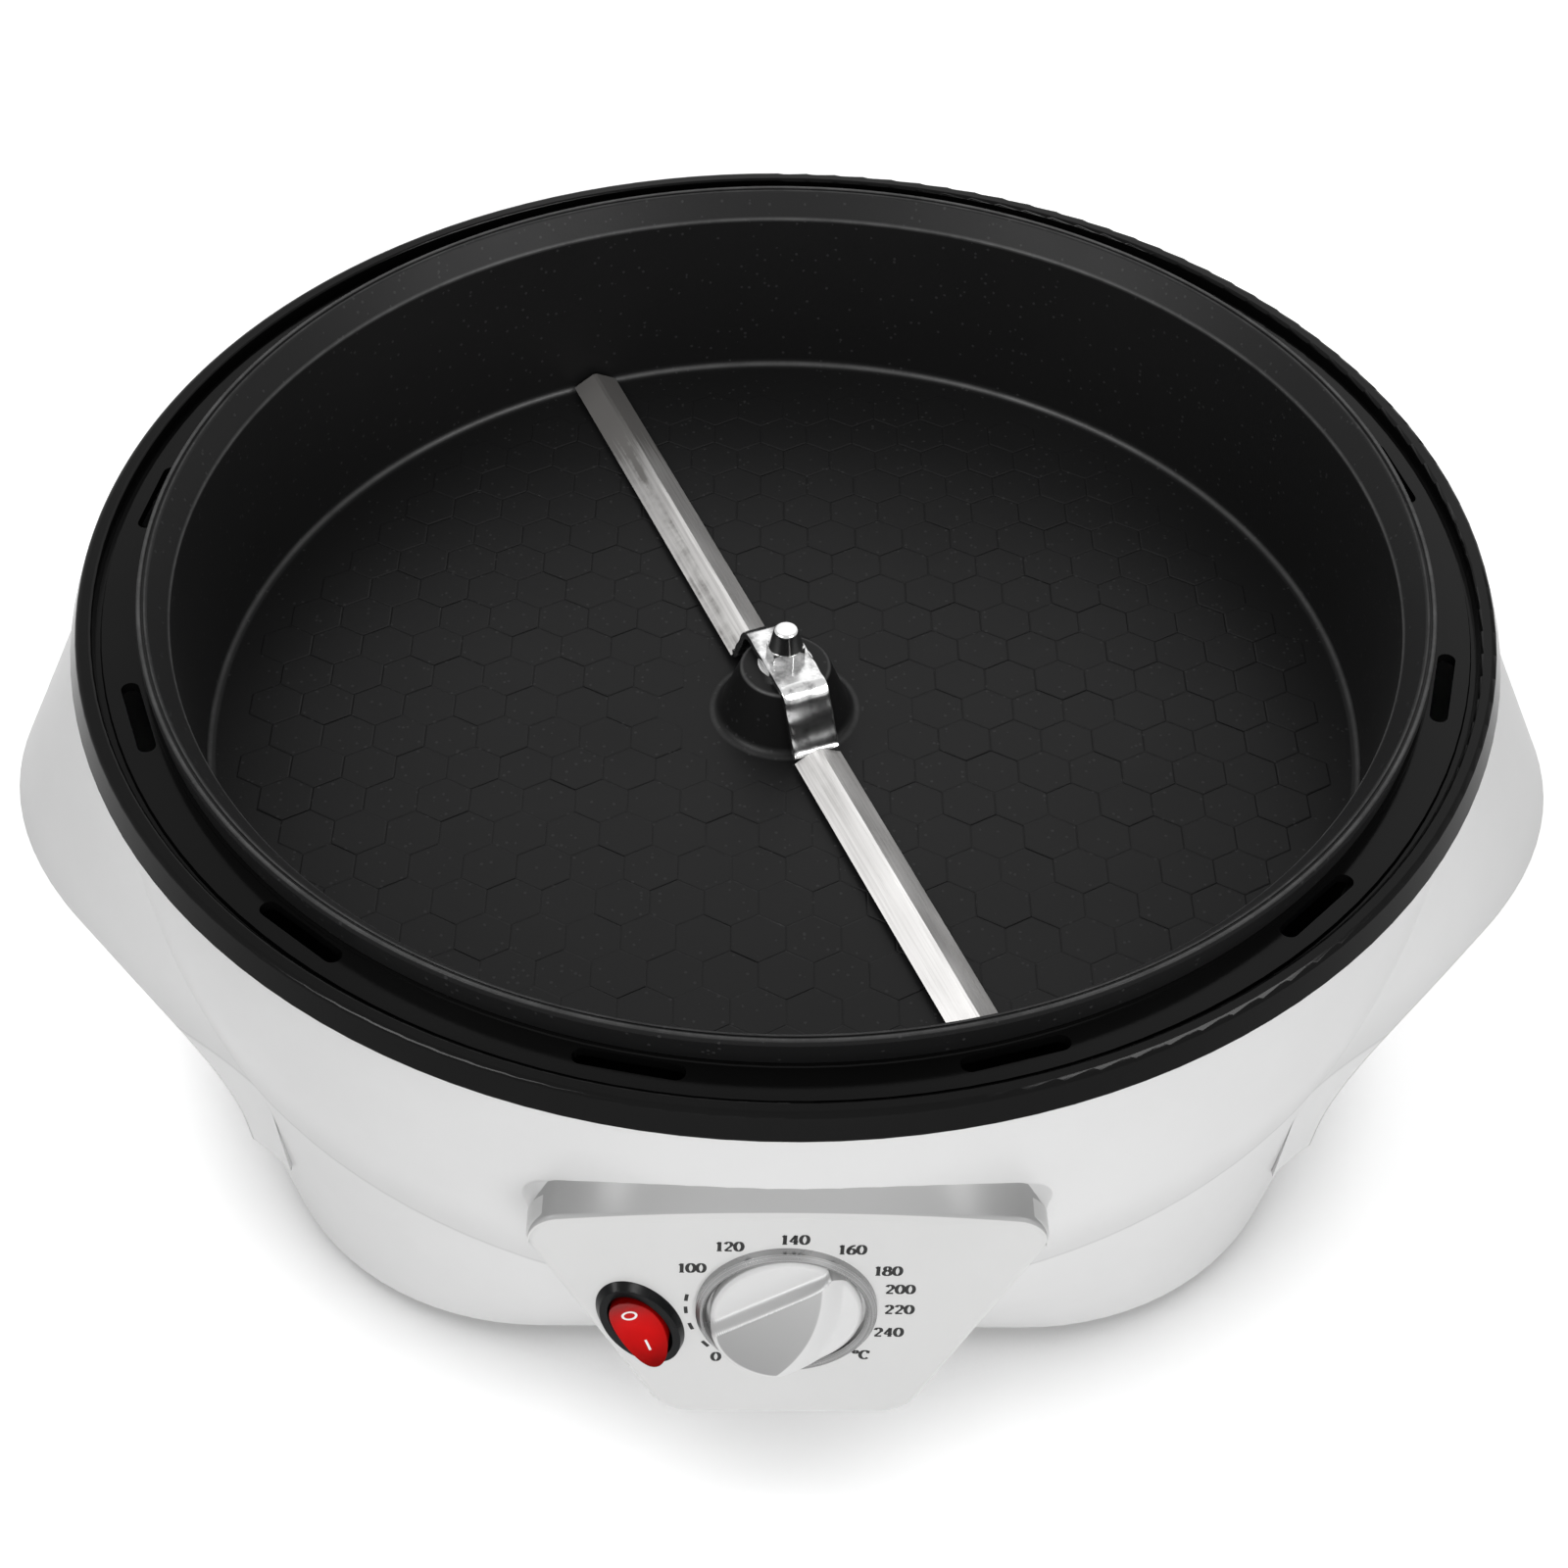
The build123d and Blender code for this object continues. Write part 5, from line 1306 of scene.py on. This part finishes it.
# ---------------------------------------------------------------- dial and switch marks
class Glyph(Enum):
    """Marks on the dial, in units of their height: (width, strokes).

    A stroke is ("arc", x, y, half width, half height, from, to) or ("line", x0, y0, x1, y1, pen).
    """

    ZERO = (0.64, (("arc", 0.32, 0.5, 0.27, 0.46, 0, 360),))
    ONE = (
        0.5,
        (
            ("line", 0.26, 0, 0.26, 0.97, 1.0),
            ("line", 0.08, 0.025, 0.44, 0.025, 0.6),
            ("line", 0.08, 0.8, 0.27, 0.96, 0.8),
        ),
    )
    TWO = (
        0.64,
        (
            ("arc", 0.31, 0.7, 0.22, 0.26, 165, -25),
            ("line", 0.51, 0.59, 0.09, 0.07, 0.7),
            ("line", 0.06, 0.06, 0.56, 0.06, 1.3),
        ),
    )
    FOUR = (
        0.66,
        (
            ("line", 0.42, 0.96, 0.05, 0.3, 0.7),
            ("line", 0.05, 0.29, 0.62, 0.29, 0.9),
            ("line", 0.43, 0.0, 0.43, 0.96, 1.0),
            ("line", 0.28, 0.025, 0.58, 0.025, 0.6),
        ),
    )
    SIX = (0.64, (("arc", 0.33, 0.3, 0.24, 0.28, 0, 360), ("arc", 0.66, 0.36, 0.56, 0.6, 98, 182)))
    EIGHT = (0.64, (("arc", 0.32, 0.74, 0.19, 0.21, 0, 360), ("arc", 0.32, 0.27, 0.25, 0.25, 0, 360)))
    DEGREE = (0.4, (("arc", 0.2, 0.82, 0.14, 0.14, 0, 360),))
    LETTER_C = (0.7, (("arc", 0.4, 0.5, 0.33, 0.46, 48, 312), ("line", 0.63, 0.68, 0.66, 0.95, 0.8)))


DIGITS = dict(zip("012468oC", Glyph))


@dataclass
class DialMarks:
    """Printed numbers and dashes round the knob."""

    numbers: tuple[tuple[str, float, float], ...] = (
        ("0", 228.5, 23.0),
        ("100", 147.5, 24.0),
        ("120", 121.5, 23.4),
        ("140", 86.0, 22.3),
        ("160", 54.5, 23.5),
        ("180", 29.6, 24.7),
        ("200", 14.2, 25.0),
        ("220", -1.6, 24.3),
        ("240", -20.8, 23.8),
        ("oC", -44.8, 23.2),
    )
    dashes: tuple[float, ...] = (172.0, 183.0, 198.0, 216.0)
    dash_radius: float = 21.7
    dash_length: float = 2.2
    dash_half: float = 0.4
    height: float = 3.0
    gap: float = 0.08
    slant: float = 0.03
    thin: float = 0.055
    thick: float = 0.135
    swelling: float = 1.4
    proud: float = 0.06
    sunk: float = 0.05

    def stroke(self, spec: tuple) -> Grid:
        """One pen stroke: the ribbon is thick where it runs up and thin where it runs across.

        Args:
            spec: the stroke from its glyph.

        Returns:
            The stroke's ribbon in glyph units.
        """
        if spec[0] == "arc":
            _, x, y, wide, high, start, end = spec
            closed = abs(end - start) >= 360
            turn = np.radians(np.linspace(start, end, 40, endpoint=not closed))
            path = np.stack([x + wide * np.cos(turn), y + high * np.sin(turn)], -1)
            pen = 1.0
        else:
            _, x0, y0, x1, y1, pen = spec
            closed = False
            path = np.linspace((x0, y0), (x1, y1), 4)
        rise = np.abs(normals(path, closed)[:, 0])
        half = (self.thin + (self.thick - self.thin) * rise**self.swelling) * pen
        return ribbon(path, half, -self.sunk / self.height, self.proud / self.height, closed)

    def word(self, text: str, x: float, y: float) -> list[Grid]:
        """A number centred on a place of the panel's face.

        Args:
            text: its characters.
            x: middle across.
            y: middle up.

        Returns:
            Its strokes, placed on the panel.
        """
        total = sum(DIGITS[c].value[0] for c in text) + self.gap * (len(text) - 1)
        pen, grids = -total / 2, []
        for character in text:
            width, strokes = DIGITS[character].value
            for spec in strokes:
                grid = self.stroke(spec)
                points = grid.points.copy()
                points[..., 0] += pen + self.slant * (points[..., 1] - 0.5)
                points[..., 1] -= 0.5
                grid.points = PANEL.place(points * self.height + (x, y, 0))
                grids.append(grid)
            pen += width + self.gap
        return grids

    def build(self, ink: bpy.types.Material) -> bpy.types.Object:
        """Make all the marks as one mesh on the panel.

        Args:
            ink: the marks' finish.

        Returns:
            The piece.
        """
        grids = []
        for text, angle, radius in self.numbers:
            turn = np.radians(angle)
            grids += self.word(text, radius * np.cos(turn), radius * np.sin(turn))
        for angle in self.dashes:
            half = np.degrees(self.dash_length / 2 / self.dash_radius)
            turn = np.radians(np.linspace(angle - half, angle + half, 6))
            path = self.dash_radius * np.stack([np.cos(turn), np.sin(turn)], -1)
            grid = ribbon(path, np.full(6, self.dash_half), -self.sunk, self.proud, False)
            grid.points = PANEL.place(grid.points)
            grids.append(grid)
        return make_piece("dial_marks", grids, ink)


@dataclass
class RockerMarks:
    """White O and I on the rocker, laid on its hollow top."""

    half_length: float = 9.8
    waist: float = 3.4
    horn: float = 5.6
    ring_at: float = 4.6
    ring_half: tuple[float, float] = (1.5, 1.25)
    bar_at: float = -4.6
    bar_length: float = 2.6
    pen: float = 0.27
    sunk: float = 0.1
    proud: float = 0.05

    def lay(self, grid: Grid) -> Grid:
        """Lift a ribbon on to the rocker's top, whose height is the arc waist + sagitta of y.

        Args:
            grid: the flat ribbon.

        Returns:
            The same ribbon, bent and placed.
        """
        rise = self.horn - self.waist
        radius = (self.half_length**2 + rise**2) / (2 * rise)
        points = grid.points.copy()
        points[..., 2] += self.waist + radius - np.sqrt(radius**2 - points[..., 1] ** 2)
        grid.points = ROCKER.place(points)
        return grid

    def build(self, paint: bpy.types.Material) -> bpy.types.Object:
        """Make both marks as one mesh.

        Args:
            paint: the marks' finish.

        Returns:
            The piece.
        """
        turn = full_turn(40)
        wide, high = self.ring_half
        ring = np.stack([wide * np.cos(turn), self.ring_at + high * np.sin(turn)], -1)
        bar = np.linspace((0, self.bar_at - self.bar_length / 2), (0, self.bar_at + self.bar_length / 2), 8)
        grids = []
        for path, closed in ((ring, True), (bar, False)):
            pen = np.full(len(path), self.pen)
            grids.append(self.lay(ribbon(path, pen, -self.sunk, self.proud, closed)))
        return make_piece("rocker_marks", grids, paint)


# ---------------------------------------------------------------- studio
@dataclass
class Studio:
    """Floor, light and camera."""

    eye: Point = (-8.2, -509.8, 576.7)
    target: Point = (0.2, 0.0, 62.4)
    roll: float = 1.084
    lens: float = 63.18
    sky: float = 0.30
    glow: float = 0.54
    shade_reach: float = 0.042
    shade_range: tuple[float, float] = (0.25, 0.92)
    far_range: tuple[float, float] = (0.6, 1.8)
    far_glow: float = 0.4
    glint: float = 24.0
    aim: Point = (0.0, 0.0, 70.0)
    rings: tuple[float, ...] = (300.0, 900.0, 9000.0)
    floor_level: float = -0.05

    def camera(self) -> None:
        """Place the camera: it looks from the eye to the target and leans by the roll."""
        data = bpy.data.cameras.new("view")
        data.lens, data.sensor_width = self.lens, 36.0
        data.clip_start, data.clip_end = 0.01, 50.0
        seen = bpy.data.objects.new("view", data)
        eye, target = Vector(self.eye) * MM, Vector(self.target) * MM
        ahead = (target - eye).normalized()
        right = ahead.cross(Vector((0, 0, 1))).normalized()
        up = right.cross(ahead)
        turn = float(np.radians(self.roll))
        side = right * np.cos(turn) + up * np.sin(turn)
        above = up * np.cos(turn) - right * np.sin(turn)
        axes = Matrix((side, above, -ahead)).transposed().to_4x4()
        seen.matrix_world = Matrix.Translation(eye) @ axes
        bpy.context.scene.collection.objects.link(seen)
        bpy.context.scene.camera = seen

    def seen_share(self, bench: Bench) -> Socket:
        """One where a ray comes from the camera, or from a mirror or glass; zero for lighting rays.

        Args:
            bench: the bench of the world or of the floor's material.

        Returns:
            The share.
        """
        path = bench.node("LightPath").outputs
        seen = bench.math("MAXIMUM", path["Is Camera Ray"], path["Is Glossy Ray"])
        return bench.math("MAXIMUM", seen, path["Is Transmission Ray"])

    def world(self) -> None:
        """A white surround for the eye and for reflections, and a dimmer one for lighting."""
        made = bpy.data.worlds.new("surround")
        made.use_nodes = True
        bpy.context.scene.world = made
        bench = Bench(made.node_tree)
        back = made.node_tree.nodes["Background"]
        strength = bench.math("MULTIPLY_ADD", self.seen_share(bench), 1.0 - self.sky, self.sky)
        bench.feed(back.inputs["Strength"], strength)
        bench.feed(back.inputs["Color"], grey(1.0))

    def floor(self) -> None:
        """A broad pale disc that keeps the shadow, white where nothing shades it and glowing more far out;
        near the roaster its glow is dimmed by ambient occlusion, a painted contact shadow.
        """
        made = bpy.data.materials.new("floor_white")
        made.use_nodes = True
        bench = Bench(made.node_tree)
        made.node_tree.nodes.remove(made.node_tree.nodes["Principled BSDF"])
        matt = bench.node("BsdfDiffuse", {"Color": grey(0.86)})
        open_sky = bench.node("AmbientOcclusion", {"Distance": self.shade_reach}, samples=16).outputs["AO"]
        away = bench.vector("LENGTH", bench.node("TexCoord").outputs["Object"], out="Value")
        far = bench.step(away, *self.far_range, 0.0, self.far_glow)
        # painted shadow: the glow fades where ambient occlusion finds the roaster close by
        glow = bench.math("MULTIPLY_ADD", bench.step(open_sky, *self.shade_range), self.glow, far)
        glow = bench.math("MULTIPLY", glow, self.seen_share(bench))
        glow = bench.node("Emission", {"Color": grey(1.0), "Strength": glow})
        both = bench.node("AddShader", {0: matt.outputs[0], 1: glow.outputs[0]})
        bench.feed(made.node_tree.nodes["Material Output"].inputs["Surface"], both.outputs[0])
        turn, radius = full_turn(96), np.array(self.rings)[:, None]
        level = np.full((len(self.rings), 96), self.floor_level)
        points = np.stack([radius * np.cos(turn), radius * np.sin(turn), level], -1)
        disc = make_piece("floor", [Grid(points, caps=(True, False))], made)

    def lamp(
        self, name: str, place: Point, size: float, power: float, lit: bool = True, shown: bool = False
    ) -> None:
        """A square soft lamp aimed at the roaster.

        Args:
            name: its name.
            place: where it hangs, in millimetres.
            size: its side, in metres.
            power: its power in watts.
            lit: False for a lamp that shows only as a glint in glossy surfaces.
            shown: True for a lamp that shows in glossy surfaces.
        """
        data = bpy.data.lights.new(name, "AREA")
        data.energy, data.size = power, size
        lamp = bpy.data.objects.new(name, data)
        lamp.visible_diffuse, lamp.visible_glossy = lit, shown
        lamp.location = Vector(place) * MM
        lamp.rotation_mode = "QUATERNION"
        lamp.rotation_quaternion = (Vector(self.aim) * MM - lamp.location).to_track_quat("-Z", "Y")
        bpy.context.scene.collection.objects.link(lamp)

    def build(self) -> None:
        """Set the whole studio up."""
        self.camera()
        self.world()
        self.floor()
        self.lamp("key_light", (-900, 300, 1500), 1.0, 5.0)
        self.lamp("back_light", (300, 1500, 1300), 1.2, 3.0, shown=True)
        self.lamp("front_light", (250, -1750, 550), 1.4, 24.0)
        self.lamp("rear_light", (-200, 1750, 450), 1.4, 12.0)
        self.lamp("left_glint", (-950, -550, 1350), 0.7, self.glint, lit=False, shown=True)
        self.lamp("right_glint", (950, -550, 1350), 0.7, self.glint, lit=False, shown=True)
        bpy.context.scene.view_settings.view_transform = "Standard"


def main() -> None:
    """Build the studio, dress the frame and add the pieces, in order."""
    logging.basicConfig(level=logging.INFO, format="%(message)s")
    Studio().build()
    dress = FrameDress(frame["nodes"])
    dress.build()
    dress.dress()
    steel, coat = dress.finishes["arm_steel"], dress.finishes["pan_black"]
    for piece, node, body, slot in (
        (KnobSkin().build(dress.finishes["knob_silver"]), "control_knob", "knob", "knob_silver"),
        (ArmStrip().build("rear_strip", 1.0, steel), "stirrer_arm_rear", "stirrer", "arm_steel"),
        (ArmStrip().build("front_strip", -1.0, steel), "stirrer_arm_front", "stirrer", "arm_steel"),
        (StrapBand().build(STRAP_STEEL.make()), "stirrer_bridge", "stirrer", "bright_chrome"),
        (PanShell().build(coat), "roasting_pan", "roaster", "pan_black"),
    ):
        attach(piece, body)
        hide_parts(node)
        log.info("made %s in place of %s: %d faces", piece.name, node, len(piece.data.polygons))
    for piece, body, slot in (
        (PanTiles().build(coat), "roaster", "pan_black"),
        (PanelBrow().build(BROW_TOP_SHADED.make()), "roaster", "panel_white"),
        (DialMarks().build(DIAL_INK.make()), "roaster", "switch_black"),
        (RockerMarks().build(MARK_WHITE.make()), "rocker", "panel_white"),
    ):
        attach(piece, body)
        log.info("made %s on %s: %d faces", piece.name, body, len(piece.data.polygons))


if __name__ == "__main__":
    main()
